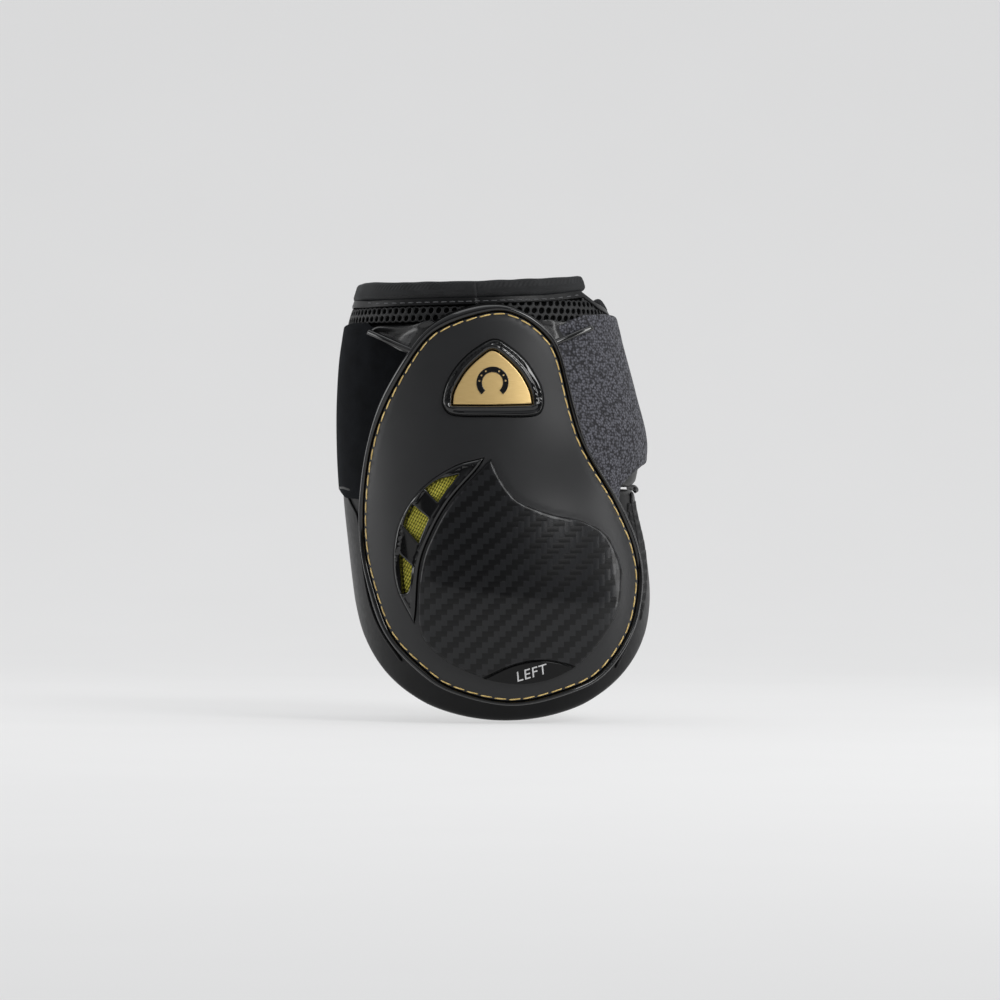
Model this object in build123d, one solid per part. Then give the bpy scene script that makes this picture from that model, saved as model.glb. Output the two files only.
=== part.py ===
"""Hind tendon and fetlock boot: a moulded strike shell on a padded wrap, closed by one wide elastic strap.

Millimetres. The origin is on the leg's axis at the middle of the fetlock joint, +Z points up the leg and
the shell faces -Y. Every layer follows the liner's outer face, which is an ellipse at each height, and is
given as a distance outward from that face: negative inside the padding, positive outside it.
"""
from build123d import *
import math
import os

import numpy as np

# Liner's outer face: height, left, right, front, back
STATIONS = np.array([
    (-52, -43.0, 51.0, -42.5, 39),
    (-35, -47.0, 54.5, -47.0, 43),
    (-18, -50.0, 57.0, -50.0, 46),
    (0, -52.6, 57.6, -51.0, 48),
    (15, -54.4, 56.0, -50.0, 48),
    (36, -56.6, 52.0, -47.5, 47),
    (54, -57.6, 54.4, -45.5, 47),
    (72, -57.6, 50.4, -43.5, 45),
    (90, -56.2, 45.6, -41.5, 42),
    (101, -54.0, 42.6, -40.0, 40),
    (110, -51.0, 37.5, -38.0, 36),
    (118, -49.0, 34.0, -36.0, 34),
])
SECTIONS = 24
REACH = 120.0
MITRE_LIMIT = 0.5
EDGE_LIMIT = 0.9995
FORWARD = (0, -1, 0)
RIGHTWARD = (1, 0, 0)

# Layers, as (inner, outer) distances from the liner's outer face
LINING = (-8.0, -6.6)
PADDING = (-6.5, 0.0)
BINDING = (-8.1, 0.1)
COLLAR = (-7.0, 1.2)
GEL = (0.1, 2.0)
SHELL_BASE = (2.1, 3.6)
RIM = (0.1, 6.0)
WING_WEB = (0.1, 1.6)
WING_LIP = (0.1, 4.5)
FACE = (3.7, 5.0)
INSERT = (5.1, 6.6)
LABEL = (5.1, 6.4)
VENT_MESH = (2.1, 2.7)
VENT_FRAME = (3.7, 6.0)
BEZEL = (3.7, 7.2)
BADGE_PLATE = (3.7, 5.6)
EMBLEM = (5.7, 6.1)
LOOP = (0.2, 1.4)
STRAP = (0.35, 2.45)
HOOK = (1.7, 2.3)
TAB = (2.4, 4.0)

# Where the wrap divides
ROOT_Y = -8.0
PANEL_Y = -6.0
PANEL_GAP = 14.0
BINDING_WIDTH = 3.0
SEAM = 0.25
LINING_INSET = 2.2
SPLIT_RIGHT = -1.0
SPLIT_LEFT = -3.0

# Thread
FACE_STITCH = (4.0, 0.65, 0.5)
FACE_STITCH_PITCH = 4.8
FINE_STITCH = (2.0, 0.4, 0.3)
FINE_STITCH_PITCH = 3.0
CLEAR = 0.06
FLANGE_SEAM = 2.2
FLANGE_LOW = -8.0
FLANGE_HIGH = 22.0

# Outlines on the shell, as (x, z) on the liner's outer face
RIM_OUTLINE = [
    (-1, 105.2), (7.5, 103), (15.5, 99), (20.2, 94), (23.5, 84), (27.8, 68), (32.3, 52), (37, 43.5),
    (44.7, 28), (48.8, 17), (50.3, 2), (47.4, -14.5), (39, -29), (25.7, -36.8), (6, -40.8), (-15.3, -36),
    (-28.5, -27), (-39.2, -12), (-44.2, 6), (-45.7, 26), (-45, 46), (-41.5, 66), (-36, 79), (-27, 93.2),
    (-18.4, 101), (-8.5, 104.5),
]
STITCH_OUTLINE = [
    (-1.3, 100.3), (7.5, 98.8), (15.2, 93), (20.1, 84.5), (24.6, 65.8), (28.6, 53.2), (35.8, 39.3),
    (42.4, 25.2), (46.4, 14.3), (47.8, 2), (44.7, -13.4), (36, -26.7), (25.3, -33.1), (6, -37.6),
    (-13.2, -33.2), (-23.9, -25.6), (-33.9, -14.4), (-39.6, 0.6), (-43.1, 16.8), (-43.5, 35.1),
    (-40.9, 54.5), (-35.3, 70.6), (-25, 88.4), (-16.3, 95.7),
]
FACE_MARGIN = 0.7
RIM_MARGIN = 0.95
BASE_MARGIN = 0.75
GEL_INSET = -5.0
GEL_TOP = 46.0
INSERT_RIGHT = [
    (-1.4, 48.1), (1.2, 41.9), (4.5, 36.2), (8.7, 31.9), (18.4, 27.7), (29.4, 24.8), (37.4, 19.5),
    (41.7, 10.5), (42.6, 4.2), (40.7, -7.8), (33, -20.5), (26.9, -26.4),
]
LABEL_TOP = [(26.9, -26.4), (22.6, -24.8), (15, -23.7), (6, -25.5), (-3.6, -30.2)]
LABEL_BOTTOM = [(-3.6, -30.2), (1.7, -31.4), (8, -32.1), (14.3, -31.5), (20.5, -29.7), (26.9, -26.4)]
INSERT_LEFT = [
    (-3.6, -30.2), (-14.8, -24.7), (-23.1, -16.7), (-25.2, -6.4), (-24.1, 9.6), (-20.5, 20.9),
    (-14.4, 32.6), (-5.3, 43.9), (-1.4, 48.1),
]
NESTED_GAP = -0.12
VENT_OUTER = [
    (-3.6, 48.4), (-13.8, 45.2), (-24.5, 37.5), (-31.6, 26.6), (-33.8, 14.3), (-32.6, 1.8), (-26.8, -10.8),
]
VENT_INNER = [
    (-26.8, -10.8), (-26.2, -6.4), (-25.1, 9.6), (-21.5, 20.9), (-15.4, 32.6), (-6.3, 43.9), (-3.6, 48.4),
]
WINDOW_OUTER = [(-12.2, 42.4), (-21.1, 39.2), (-28.7, 30.2), (-31.9, 16.6), (-31, -0.3)]
WINDOW_INNER = [(-31, -0.3), (-28.5, 1), (-27.2, 11), (-24.3, 21), (-19.8, 31.4), (-12.2, 42.4)]
UPPER_BAR = [(-28.5, 32.4), (-24.6, 38.3), (-18.8, 31.7), (-21.6, 26)]
LOWER_BAR = [(-33.8, 15.8), (-32.4, 26.2), (-24.6, 16.6), (-26.2, 8.2)]
BEZEL_OUTLINE = [
    (-0.8, 91.5), (-7.7, 87.6), (-12.7, 82.6), (-16, 77.1), (-17.7, 71.5), (-17.6, 67), (-13.8, 63.8),
    (-0.5, 63.2), (12.8, 63.3), (16, 66.6), (15.6, 73.2), (12.8, 79.2), (9.4, 84.3), (4.3, 88.9),
]
PLATE_FOOT = [(-14.4, 67.8), (-1, 67.6), (12.2, 67.8)]
PLATE_ARC = [
    (12.2, 67.8), (11.6, 71.4), (10.1, 75.2), (7.5, 79.6), (3.2, 84.3), (-1, 87.2), (-4.6, 85.2),
    (-9.4, 80.4), (-12.6, 75.1), (-14, 71.4), (-14.4, 67.8),
]
EMBLEM_CENTRE = (-1.1, 75.6)
EMBLEM_RADII = (5.4, 3.5)
EMBLEM_OPENING = 50.0
EMBLEM_POINTS = 13
LEFT_WING = [
    (-45.8, 94.6), (-42.1, 97.2), (-36, 96.7), (-30, 97), (-22.5, 98.6), (-20, 97.3), (-29, 86.5),
    (-33, 87.6),
]
LEFT_LIP = [(-46, 94.7), (-45, 96.5), (-33, 90.8), (-29, 91), (-28.5, 87), (-33, 87.6)]
RIGHT_WING = [
    (14, 98), (18, 98.9), (23, 98.4), (31, 98.8), (34.6, 97.4), (34, 95.6), (22.8, 90.2), (20, 90), (17, 95),
]
RIGHT_LIP = [(34.7, 97.8), (34.2, 95.4), (22.8, 90.1), (20, 90), (19.6, 91.8), (22.2, 92.4)]
WING_GAP = 0.1
WRAP_CLEAR = 0.6
ANCHOR_OUTLINE = [
    (20, 88.2), (34, 94.6), (42.5, 100.4), (70, 104), (70, 52), (52, 46.6), (41.5, 38.3), (36, 33),
]
LOOP_FRONT_OUTLINE = [
    (-28, 84.5), (-31.5, 86), (-45.5, 93.6), (-54, 98.4), (-80, 98.6), (-80, 38.6), (-55, 38.2), (-45, 34.5),
]
SIDE_WORD = "LEFT"
LETTERS_CENTRE = (12.0, -27.9)
LETTER_SIZE = (2.3, 3.5)
LETTER_PITCH = 3.1
LETTER_STROKE = 0.5
LETTER_THICK = 0.3
LETTER_TILT = 18.0

# Collar on the front, as (x, z)
MESH_LOW = [(-90, 98.6), (90, 98.6)]
MESH_HIGH = [(-90, 107.3), (-56, 107.3), (-40, 106.3), (-10, 106.6), (20, 107.8), (33, 110.2), (33, 98.6)]
COLLAR_LOW = [(-90, 108), (-56, 108), (-40, 107), (-10, 107.3), (20, 108.5), (34.5, 111)]
COLLAR_HIGH = [(-90, 114.2), (-56, 114.2), (-40, 113.6), (-10, 113.9), (20, 115.2), (32, 116.3)]
COLLAR_SEAM = [(-47, 106), (-40, 105.4), (-25, 105.5), (-10, 105.7), (5, 106.2), (20, 106.9), (31, 108.7)]

# Side views, as (y, z)
CUP_EDGE = [(14, 37.6), (8, 20), (0, 0), (-14, -18), (-25, -30), (-37, -41.8), (-44, -47.7), (-120, -48.5)]
CUP_TOP = 98.3
LINING_TOP = 103.0
WING_TOP = 37.6
BACK_Y = 60.0
PANEL_LOW = (38.4, 46.5)
PANEL_HIGH = (98.3, 89.0)
LEFT_MESH_HIGH = (107.3, 98.0)
LEFT_COLLAR_HIGH = (114.2, 104.5)
RIGHT_MESH_HIGH = (103.6, 95.0)
RIGHT_COLLAR_HIGH = (109.0, 101.0)
LINING_BELOW_MESH = 5.0
COLLAR_STEP = 0.7
BAND_OUTLINE = [(-6, 47.6), (20, 51), (60, 51), (60, 94), (20, 98.8), (-6, 101)]
TAB_OUTLINE = [
    (60, 51), (30, 51.5), (17, 54), (13.5, 59), (13, 74), (13.5, 87), (17, 93), (30, 95), (60, 94),
]
HOOK_OUTLINE = [(38, 54), (18, 57), (16, 61), (16, 85), (18, 90), (38, 92)]
LOOP_SIDE_OUTLINE = [(-6, 38.9), (60, 47), (60, 88.5), (-6, 98.0)]

HEIGHTS = STATIONS[:, 0]
LIMITS = STATIONS[:, 1:]
SLOPES = np.gradient(LIMITS, HEIGHTS, axis=0)
OUTWARD = np.array((-1, 1, -1, 1))


def limits_at(z):
    """Left, right, front and back of the liner's outer face at one height."""
    i = int(np.clip(np.searchsorted(HEIGHTS, z) - 1, 0, len(HEIGHTS) - 2))
    span = HEIGHTS[i + 1] - HEIGHTS[i]
    t = (z - HEIGHTS[i]) / span
    start = (2 * t**3 - 3 * t**2 + 1) * LIMITS[i] + (t**3 - 2 * t**2 + t) * span * SLOPES[i]
    end = (3 * t**2 - 2 * t**3) * LIMITS[i + 1] + (t**3 - t**2) * span * SLOPES[i + 1]
    return start + end


def ellipse_at(z, distance):
    """Centre and radii (cx, cy, rx, ry) of a layer face at one height."""
    slope = limits_at(z + 0.5) - limits_at(z - 0.5)
    left, right, front, back = limits_at(z) + OUTWARD * distance * np.sqrt(1 + slope**2)
    return (left + right) / 2, (front + back) / 2, (right - left) / 2, (back - front) / 2


LEVELS = {}


def level_face(distance, seam):
    """Side face of the wrap at one distance from the liner; seam is +1 at the back, -1 in front."""
    if (distance, seam) not in LEVELS:
        sections = []
        for z in np.linspace(HEIGHTS[0], HEIGHTS[-1], SECTIONS):
            cx, cy, rx, ry = ellipse_at(z, distance)
            plane = Plane(origin=(cx, cy, z), x_dir=(0, seam, 0), z_dir=(0, 0, 1))
            sections.append(plane * Ellipse(ry, rx))
        LEVELS[distance, seam] = loft(sections).faces().sort_by(SortBy.AREA)[-1]
    return LEVELS[distance, seam]


def front_point(x, z):
    """Point of the liner's outer face on its front half."""
    cx, cy, rx, ry = ellipse_at(z, 0)
    across = np.clip((x - cx) / rx, -EDGE_LIMIT, EDGE_LIMIT)
    return np.array((x, cy - ry * math.sqrt(1 - across**2), z))


def front_normal(x, z):
    """Outward normal of the liner's outer face on its front half."""
    step = 0.05
    along = front_point(x + step, z) - front_point(x - step, z)
    up = front_point(x, z + step) - front_point(x, z - step)
    normal = np.cross(along, up)
    return normal / np.linalg.norm(normal)


def lift(x, z, distance):
    """Point over (x, z) of the liner's outer face, at a distance from it along its normal."""
    return front_point(x, z) + distance * front_normal(x, z)


def lifted_outline(points, distance):
    return [(p[0], p[2]) for p in (lift(x, z, distance) for x, z in points)]


def shifted(points, margin):
    """Closed loop of points moved outwards by a margin, or inwards where it is negative."""
    loop = np.array(points, float)
    following = np.roll(loop, -1, axis=0)
    before = loop - np.roll(loop, 1, axis=0)
    after = following - loop
    before /= np.linalg.norm(before, axis=1)[:, None]
    after /= np.linalg.norm(after, axis=1)[:, None]
    area = np.sum(loop[:, 0] * following[:, 1] - loop[:, 1] * following[:, 0])
    along = before + after
    along /= np.linalg.norm(along, axis=1)[:, None]
    mitre = np.maximum(np.sum(along * after, axis=1), MITRE_LIMIT)
    outward = np.column_stack((along[:, 1], -along[:, 0])) * np.sign(area)
    return [tuple(p) for p in loop + outward * margin / mitre[:, None]]


def smooth(outline, distance, margin=0.0):
    """Prism along Y over a smooth closed outline, moved out by a margin."""
    moved = shifted(outline, margin)
    face = make_face(Plane.XZ * Spline(*lifted_outline(moved, distance), periodic=True))
    return extrude(face, amount=REACH, dir=FORWARD)


def cornered(outline, distance):
    """Prism along Y over an outline with straight sides."""
    face = make_face(Plane.XZ * Polyline(*lifted_outline(outline, distance), close=True))
    return extrude(face, amount=REACH, dir=FORWARD)


def joined(curves, distance, margin=0.0):
    """Prism along Y over a loop of smooth curves that meet at corners, moved out by a margin."""
    moved = shifted([point for curve in curves for point in curve[:-1]], margin)
    edges = []
    start = 0
    for curve in curves:
        stop = start + len(curve) - 1
        points = moved[start:stop] + [moved[stop % len(moved)]]
        edges.append(Spline(*lifted_outline(points, distance)).edge())
        start = stop
    return extrude(make_face(Plane.XZ * Wire(edges)), amount=REACH, dir=FORWARD)


def side_prism(outline, x_from=-REACH, x_to=REACH):
    """Prism along X over a side view."""
    face = make_face(Plane.YZ.offset(x_from) * Polyline(*outline, close=True))
    return extrude(face, amount=x_to - x_from, dir=RIGHTWARD)


def trimmed(distance, seam, keep, cut):
    """Face at one distance from the liner, inside every kept prism and outside every cut one."""
    face = level_face(distance, seam)
    for prism in keep:
        face = (face & prism).faces().sort_by(SortBy.AREA)[-1]
    for prism in cut:
        face = (face - prism).faces().sort_by(SortBy.AREA)[-1]
    return face


def layer(distances, keep, cut=(), seam=1):
    """Layer laid on the wrap: its inner face, trimmed by prisms and thickened outwards."""
    low, high = distances
    return Solid.thicken(trimmed(low, seam, keep, cut), high - low)


def lined(distances, keep, cut=(), seam=1):
    """Layer of the wrap itself: its outer face, trimmed by prisms and thickened inwards."""
    low, high = distances
    return Solid.thicken(trimmed(high, seam, keep, cut), low - high)


# Shell


def shell_rim():
    return layer(RIM, [smooth(RIM_OUTLINE, RIM[0])], [smooth(STITCH_OUTLINE, RIM[0], RIM_MARGIN)])


def shell_base():
    outline = smooth(STITCH_OUTLINE, SHELL_BASE[0], BASE_MARGIN)
    return layer(SHELL_BASE, [outline], [joined([WINDOW_OUTER, WINDOW_INNER], SHELL_BASE[0])])


def wing(web_outline, lip_outline):
    """Web out of the rim with a raised lip along its lower edge."""
    rim = smooth(RIM_OUTLINE, WING_WEB[0], WING_GAP)
    web = layer(WING_WEB, [cornered(web_outline, WING_WEB[0])], [rim])
    lip = layer(WING_LIP, [cornered(lip_outline, WING_LIP[0])], [rim])
    return web + lip


def face_panel():
    vent = joined([VENT_OUTER, VENT_INNER], FACE[0])
    badge = smooth(BEZEL_OUTLINE, FACE[0])
    return layer(FACE, [smooth(STITCH_OUTLINE, FACE[0], FACE_MARGIN)], [vent, badge])


def gel_pad():
    low = side_prism([(-REACH, -REACH), (0, -REACH), (0, GEL_TOP), (-REACH, GEL_TOP)])
    return layer(GEL, [smooth(STITCH_OUTLINE, GEL[0], GEL_INSET), low])


def strike_insert():
    return layer(INSERT, [joined([INSERT_RIGHT, LABEL_TOP, INSERT_LEFT], INSERT[0], NESTED_GAP)])


def side_label():
    return layer(LABEL, [joined([LABEL_TOP, LABEL_BOTTOM], LABEL[0], NESTED_GAP)])


def letter_bars(letter):
    """Strokes of a plain capital as (centre x, centre y, width, height), in a cell centred on the origin."""
    wide, high = LETTER_SIZE
    stroke = LETTER_STROKE
    stem = (-(wide - stroke) / 2, 0, stroke, high)
    foot = (0, -(high - stroke) / 2, wide, stroke)
    head = (0, (high - stroke) / 2, wide, stroke)
    middle = (-stroke / 4, 0, wide - stroke / 2, stroke)
    upright = (0, 0, stroke, high)
    return {"L": (stem, foot), "E": (stem, foot, head, middle), "F": (stem, head, middle),
            "T": (upright, head)}[letter]


def side_label_letters():
    tilt = math.radians(LETTER_TILT)
    letters = []
    for i, letter in enumerate(SIDE_WORD):
        shift = (i - (len(SIDE_WORD) - 1) / 2) * LETTER_PITCH
        x = LETTERS_CENTRE[0] + shift * math.cos(tilt)
        z = LETTERS_CENTRE[1] + shift * math.sin(tilt)
        normal = front_normal(x, z)
        right = np.array((math.cos(tilt), 0, math.sin(tilt)))
        right = right - normal * right.dot(normal)
        origin = lift(x, z, LABEL[1] + CLEAR + LETTER_THICK / 2)
        plane = Plane(origin=tuple(origin), x_dir=tuple(right), z_dir=tuple(normal))
        bars = [Pos(cx, cy, 0) * Box(w, h, LETTER_THICK) for cx, cy, w, h in letter_bars(letter)]
        letters.append(plane * (bars[0] + bars[1:]))
    return Compound(children=letters)


def vent_frame():
    outline = joined([VENT_OUTER, VENT_INNER], VENT_FRAME[0], NESTED_GAP)
    window = joined([WINDOW_OUTER, WINDOW_INNER], VENT_FRAME[0])
    upper, lower = (cornered(bar, VENT_FRAME[0]) for bar in (UPPER_BAR, LOWER_BAR))
    return layer(VENT_FRAME, [outline], (window - upper - lower).solids())


def vent_mesh():
    return layer(VENT_MESH, [joined([WINDOW_OUTER, WINDOW_INNER], VENT_MESH[0], NESTED_GAP)])


def badge_bezel():
    plate = joined([PLATE_ARC, PLATE_FOOT], BEZEL[0])
    return layer(BEZEL, [smooth(BEZEL_OUTLINE, BEZEL[0], NESTED_GAP)], [plate])


def badge_plate():
    return layer(BADGE_PLATE, [joined([PLATE_ARC, PLATE_FOOT], BADGE_PLATE[0], NESTED_GAP)])


def badge_emblem():
    """Plain horseshoe, open at its foot."""
    outer, inner = EMBLEM_RADII
    turns = [math.radians(a) for a in np.linspace(-90 + EMBLEM_OPENING, 270 - EMBLEM_OPENING, EMBLEM_POINTS)]
    edge = [(outer * math.cos(a), outer * math.sin(a)) for a in turns]
    edge += [(inner * math.cos(a), inner * math.sin(a)) for a in reversed(turns)]
    outline = [(EMBLEM_CENTRE[0] + x, EMBLEM_CENTRE[1] + z) for x, z in edge]
    return layer(EMBLEM, [cornered(outline, EMBLEM[0])])


def thread(curve, distance, size, pitch, keep=None):
    """Row of flat stitches along a curve in (x, z), each square to the surface under it."""
    count = round(curve.length / pitch)
    stitches = []
    for i in range(count):
        at = curve @ ((i + 0.5) / count)
        ahead = curve % ((i + 0.5) / count)
        if keep and not keep(at.X, at.Y):
            continue
        normal = front_normal(at.X, at.Y)
        along = lift(at.X + ahead.X, at.Y + ahead.Y, distance) - lift(at.X, at.Y, distance)
        along = along - normal * along.dot(normal)
        centre = lift(at.X, at.Y, distance + CLEAR + size[2] / 2)
        plane = Plane(origin=tuple(centre), x_dir=tuple(along), z_dir=tuple(normal))
        stitches.append(plane * Box(*size))
    return Compound(children=stitches)


def face_stitching():
    return thread(Spline(*STITCH_OUTLINE, periodic=True), FACE[1], FACE_STITCH, FACE_STITCH_PITCH)


def flange_stitching():
    """Fine seams that hold the shell's flange to the cup, seen at both sides."""
    ring = Spline(*shifted(RIM_OUTLINE, FLANGE_SEAM), periodic=True)
    return thread(ring, 0, FINE_STITCH, FINE_STITCH_PITCH, lambda x, z: FLANGE_LOW < z < FLANGE_HIGH)


# Wrap on the root: cup, collar, strap anchor


def front_prism(outline):
    """Prism along Y over a front view."""
    return extrude(make_face(Plane.XZ * Polyline(*outline, close=True)), amount=REACH, dir=FORWARD)


def before_hinge():
    return side_prism([(-REACH, -REACH), (ROOT_Y, -REACH), (ROOT_Y, REACH), (-REACH, REACH)])


def cup_outline(top):
    return side_prism([(-REACH, top), (ROOT_Y, top), (ROOT_Y, WING_TOP), *CUP_EDGE])


def above_edge(inset):
    """Region more than an inset from the cup's lower edge."""
    moved = [(y - inset * math.sqrt(0.5), z + inset * math.sqrt(0.5)) for y, z in CUP_EDGE]
    return side_prism([(-REACH, REACH), (moved[0][0], REACH), *moved])


def cup_pad():
    return lined(PADDING, [cup_outline(CUP_TOP), above_edge(BINDING_WIDTH + SEAM)])


def cup_lining():
    return lined(LINING, [cup_outline(LINING_TOP), above_edge(BINDING_WIDTH + LINING_INSET)])


def cup_binding():
    return lined(BINDING, [cup_outline(CUP_TOP)], [above_edge(BINDING_WIDTH)])


def mesh_band_front():
    return lined(PADDING, [front_prism(MESH_LOW[:1] + MESH_HIGH), before_hinge()])


def collar_front():
    return lined(COLLAR, [front_prism(COLLAR_LOW + COLLAR_HIGH[::-1]), before_hinge()])


def collar_stitching():
    return thread(Spline(*COLLAR_SEAM), 0, FINE_STITCH, FINE_STITCH_PITCH)


def loop_patch_front():
    rim = smooth(RIM_OUTLINE, LOOP[0], WRAP_CLEAR)
    return layer(LOOP, [front_prism(LOOP_FRONT_OUTLINE), before_hinge()], [rim])


def strap_anchor():
    rim = smooth(RIM_OUTLINE, STRAP[0], WRAP_CLEAR)
    return layer(STRAP, [front_prism(ANCHOR_OUTLINE), before_hinge()], [rim])


# Wrap's side panels, behind the hinge lines


def side_span(side, gap):
    """X limits of one side, clear of the gap at the back."""
    return (gap, REACH) if side == "right" else (-REACH, -gap)


def between(low, high, span):
    """Region of a side panel between two lines, given by their heights at the hinge and at the back."""
    return side_prism([(PANEL_Y, low[0]), (BACK_Y, low[1]), (BACK_Y, high[1]), (PANEL_Y, high[0])], *span)


def raised(line, amount):
    return line[0] + amount, line[1] + amount


def panel_nodes(side, mesh_high, collar_high):
    """Padding, lining, bound edge, mesh band and collar of one side panel."""
    edge = BINDING_WIDTH
    whole = side_span(side, PANEL_GAP)
    inner = side_span(side, PANEL_GAP + edge + SEAM)
    lining = side_span(side, PANEL_GAP + edge + LINING_INSET)
    pad = between(raised(PANEL_LOW, edge + SEAM), PANEL_HIGH, inner)
    core = between(raised(PANEL_LOW, edge), raised(mesh_high, edge), side_span(side, PANEL_GAP + edge))
    mesh_low = raised(PANEL_HIGH, SEAM)
    lining_high = raised(mesh_high, -LINING_BELOW_MESH)
    collar = between(raised(mesh_high, COLLAR_STEP), collar_high, whole)
    return {
        side + "_panel_pad": lined(PADDING, [pad], seam=-1),
        side + "_panel_lining": lined(
            LINING, [between(raised(PANEL_LOW, edge + LINING_INSET), lining_high, lining)], seam=-1),
        side + "_panel_binding": lined(BINDING, [between(PANEL_LOW, mesh_high, whole)], [core], seam=-1),
        side + "_mesh_band": lined(PADDING, [between(mesh_low, mesh_high, inner)], seam=-1),
        side + "_collar": lined(COLLAR, [collar], seam=-1),
    }


def loop_patch_side():
    return layer(LOOP, [side_prism(LOOP_SIDE_OUTLINE, *side_span("left", PANEL_GAP))], seam=-1)


# Strap


def strap_band():
    return layer(STRAP, [side_prism(BAND_OUTLINE, SPLIT_RIGHT, REACH)], seam=-1)


def strap_tab():
    return layer(TAB, [side_prism(TAB_OUTLINE, -REACH, SPLIT_LEFT)], seam=-1)


def hook_patch():
    return layer(HOOK, [side_prism(HOOK_OUTLINE, -REACH, 0)], seam=-1)


def build():
    os.makedirs("parts", exist_ok=True)
    nodes = {
        "shell_rim": shell_rim(),
        "shell_base": shell_base(),
        "left_wing": wing(LEFT_WING, LEFT_LIP),
        "right_wing": wing(RIGHT_WING, RIGHT_LIP),
        "face_panel": face_panel(),
        "face_stitching": face_stitching(),
        "flange_stitching": flange_stitching(),
        "gel_pad": gel_pad(),
        "strike_insert": strike_insert(),
        "side_label": side_label(),
        "side_label_letters": side_label_letters(),
        "vent_frame": vent_frame(),
        "vent_mesh": vent_mesh(),
        "badge_bezel": badge_bezel(),
        "badge_plate": badge_plate(),
        "badge_emblem": badge_emblem(),
        "cup_pad": cup_pad(),
        "cup_lining": cup_lining(),
        "cup_binding": cup_binding(),
        "mesh_band_front": mesh_band_front(),
        "collar_front": collar_front(),
        "collar_stitching": collar_stitching(),
        "loop_patch_front": loop_patch_front(),
        "loop_patch_side": loop_patch_side(),
        "strap_anchor": strap_anchor(),
        "strap_band": strap_band(),
        "strap_tab": strap_tab(),
        "hook_patch": hook_patch(),
        **panel_nodes("left", LEFT_MESH_HIGH, LEFT_COLLAR_HIGH),
        **panel_nodes("right", RIGHT_MESH_HIGH, RIGHT_COLLAR_HIGH),
    }
    for name, shape in nodes.items():
        export_step(shape, os.path.join("parts", name + ".step"))


build()
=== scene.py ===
import math
import random

import bmesh
import bpy
import numpy as np
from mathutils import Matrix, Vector
from mathutils.geometry import delaunay_2d_cdt


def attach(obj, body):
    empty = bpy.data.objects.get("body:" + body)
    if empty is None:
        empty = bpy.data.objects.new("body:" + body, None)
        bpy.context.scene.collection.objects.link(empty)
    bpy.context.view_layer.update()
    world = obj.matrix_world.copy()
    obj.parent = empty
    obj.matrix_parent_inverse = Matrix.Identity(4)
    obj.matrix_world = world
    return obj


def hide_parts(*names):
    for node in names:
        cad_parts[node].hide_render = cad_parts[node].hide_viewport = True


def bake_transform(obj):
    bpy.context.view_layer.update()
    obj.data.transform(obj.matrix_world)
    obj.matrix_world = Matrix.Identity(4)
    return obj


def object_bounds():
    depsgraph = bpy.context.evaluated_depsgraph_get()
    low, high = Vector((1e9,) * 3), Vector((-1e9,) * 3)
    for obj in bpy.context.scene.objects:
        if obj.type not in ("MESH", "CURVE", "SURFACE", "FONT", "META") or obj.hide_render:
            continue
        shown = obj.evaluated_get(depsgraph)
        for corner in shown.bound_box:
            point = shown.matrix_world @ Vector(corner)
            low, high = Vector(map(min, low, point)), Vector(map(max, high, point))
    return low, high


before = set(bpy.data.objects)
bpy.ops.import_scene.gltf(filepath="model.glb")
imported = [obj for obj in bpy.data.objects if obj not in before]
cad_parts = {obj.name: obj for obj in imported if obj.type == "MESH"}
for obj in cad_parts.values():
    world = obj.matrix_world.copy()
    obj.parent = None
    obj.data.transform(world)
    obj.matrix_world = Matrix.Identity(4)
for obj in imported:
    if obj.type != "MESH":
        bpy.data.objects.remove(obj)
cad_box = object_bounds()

MM = 0.001
rng = random.Random(7)

# ---------------------------------------------------------------- the wrap's surface, as in the CAD

STATIONS = np.array([
    (-52, -43.0, 51.0, -42.5, 39),
    (-35, -47.0, 54.5, -47.0, 43),
    (-18, -50.0, 57.0, -50.0, 46),
    (0, -52.6, 57.6, -51.0, 48),
    (15, -54.4, 56.0, -50.0, 48),
    (36, -56.6, 52.0, -47.5, 47),
    (54, -57.6, 54.4, -45.5, 47),
    (72, -57.6, 50.4, -43.5, 45),
    (90, -56.2, 45.6, -41.5, 42),
    (101, -54.0, 42.6, -40.0, 40),
    (110, -51.0, 37.5, -38.0, 36),
    (118, -49.0, 34.0, -36.0, 34),
])
HEIGHTS = STATIONS[:, 0]
LIMITS = STATIONS[:, 1:]
SLOPES = np.gradient(LIMITS, HEIGHTS, axis=0)


def limits_at(z):
    """Left, right, front and back of the liner's outer face, for an array of heights."""
    z = np.asarray(z, float)
    i = np.clip(np.searchsorted(HEIGHTS, z) - 1, 0, len(HEIGHTS) - 2)
    span = HEIGHTS[i + 1] - HEIGHTS[i]
    t = ((z - HEIGHTS[i]) / span)[..., None]
    span = span[..., None]
    start = (2 * t**3 - 3 * t**2 + 1) * LIMITS[i] + (t**3 - 2 * t**2 + t) * span * SLOPES[i]
    end = (3 * t**2 - 2 * t**3) * LIMITS[i + 1] + (t**3 - t**2) * span * SLOPES[i + 1]
    return start + end


def ellipse_at(z):
    left, right, front, back = np.moveaxis(limits_at(z), -1, 0)
    return (left + right) / 2, (front + back) / 2, (right - left) / 2, (back - front) / 2


def chart_base(x, z):
    cx, cy, rx, ry = ellipse_at(z)
    across = np.clip((x - cx) / rx, -0.999, 0.999)
    return np.stack((x, cy - ry * np.sqrt(1 - across**2), z), -1)


def unit(v):
    return v / np.linalg.norm(v, axis=-1, keepdims=True)


def chart_normal(x, z):
    step = 0.05
    along = chart_base(x + step, z) - chart_base(x - step, z)
    up = chart_base(x, z + step) - chart_base(x, z - step)
    return unit(np.cross(along, up))


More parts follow.
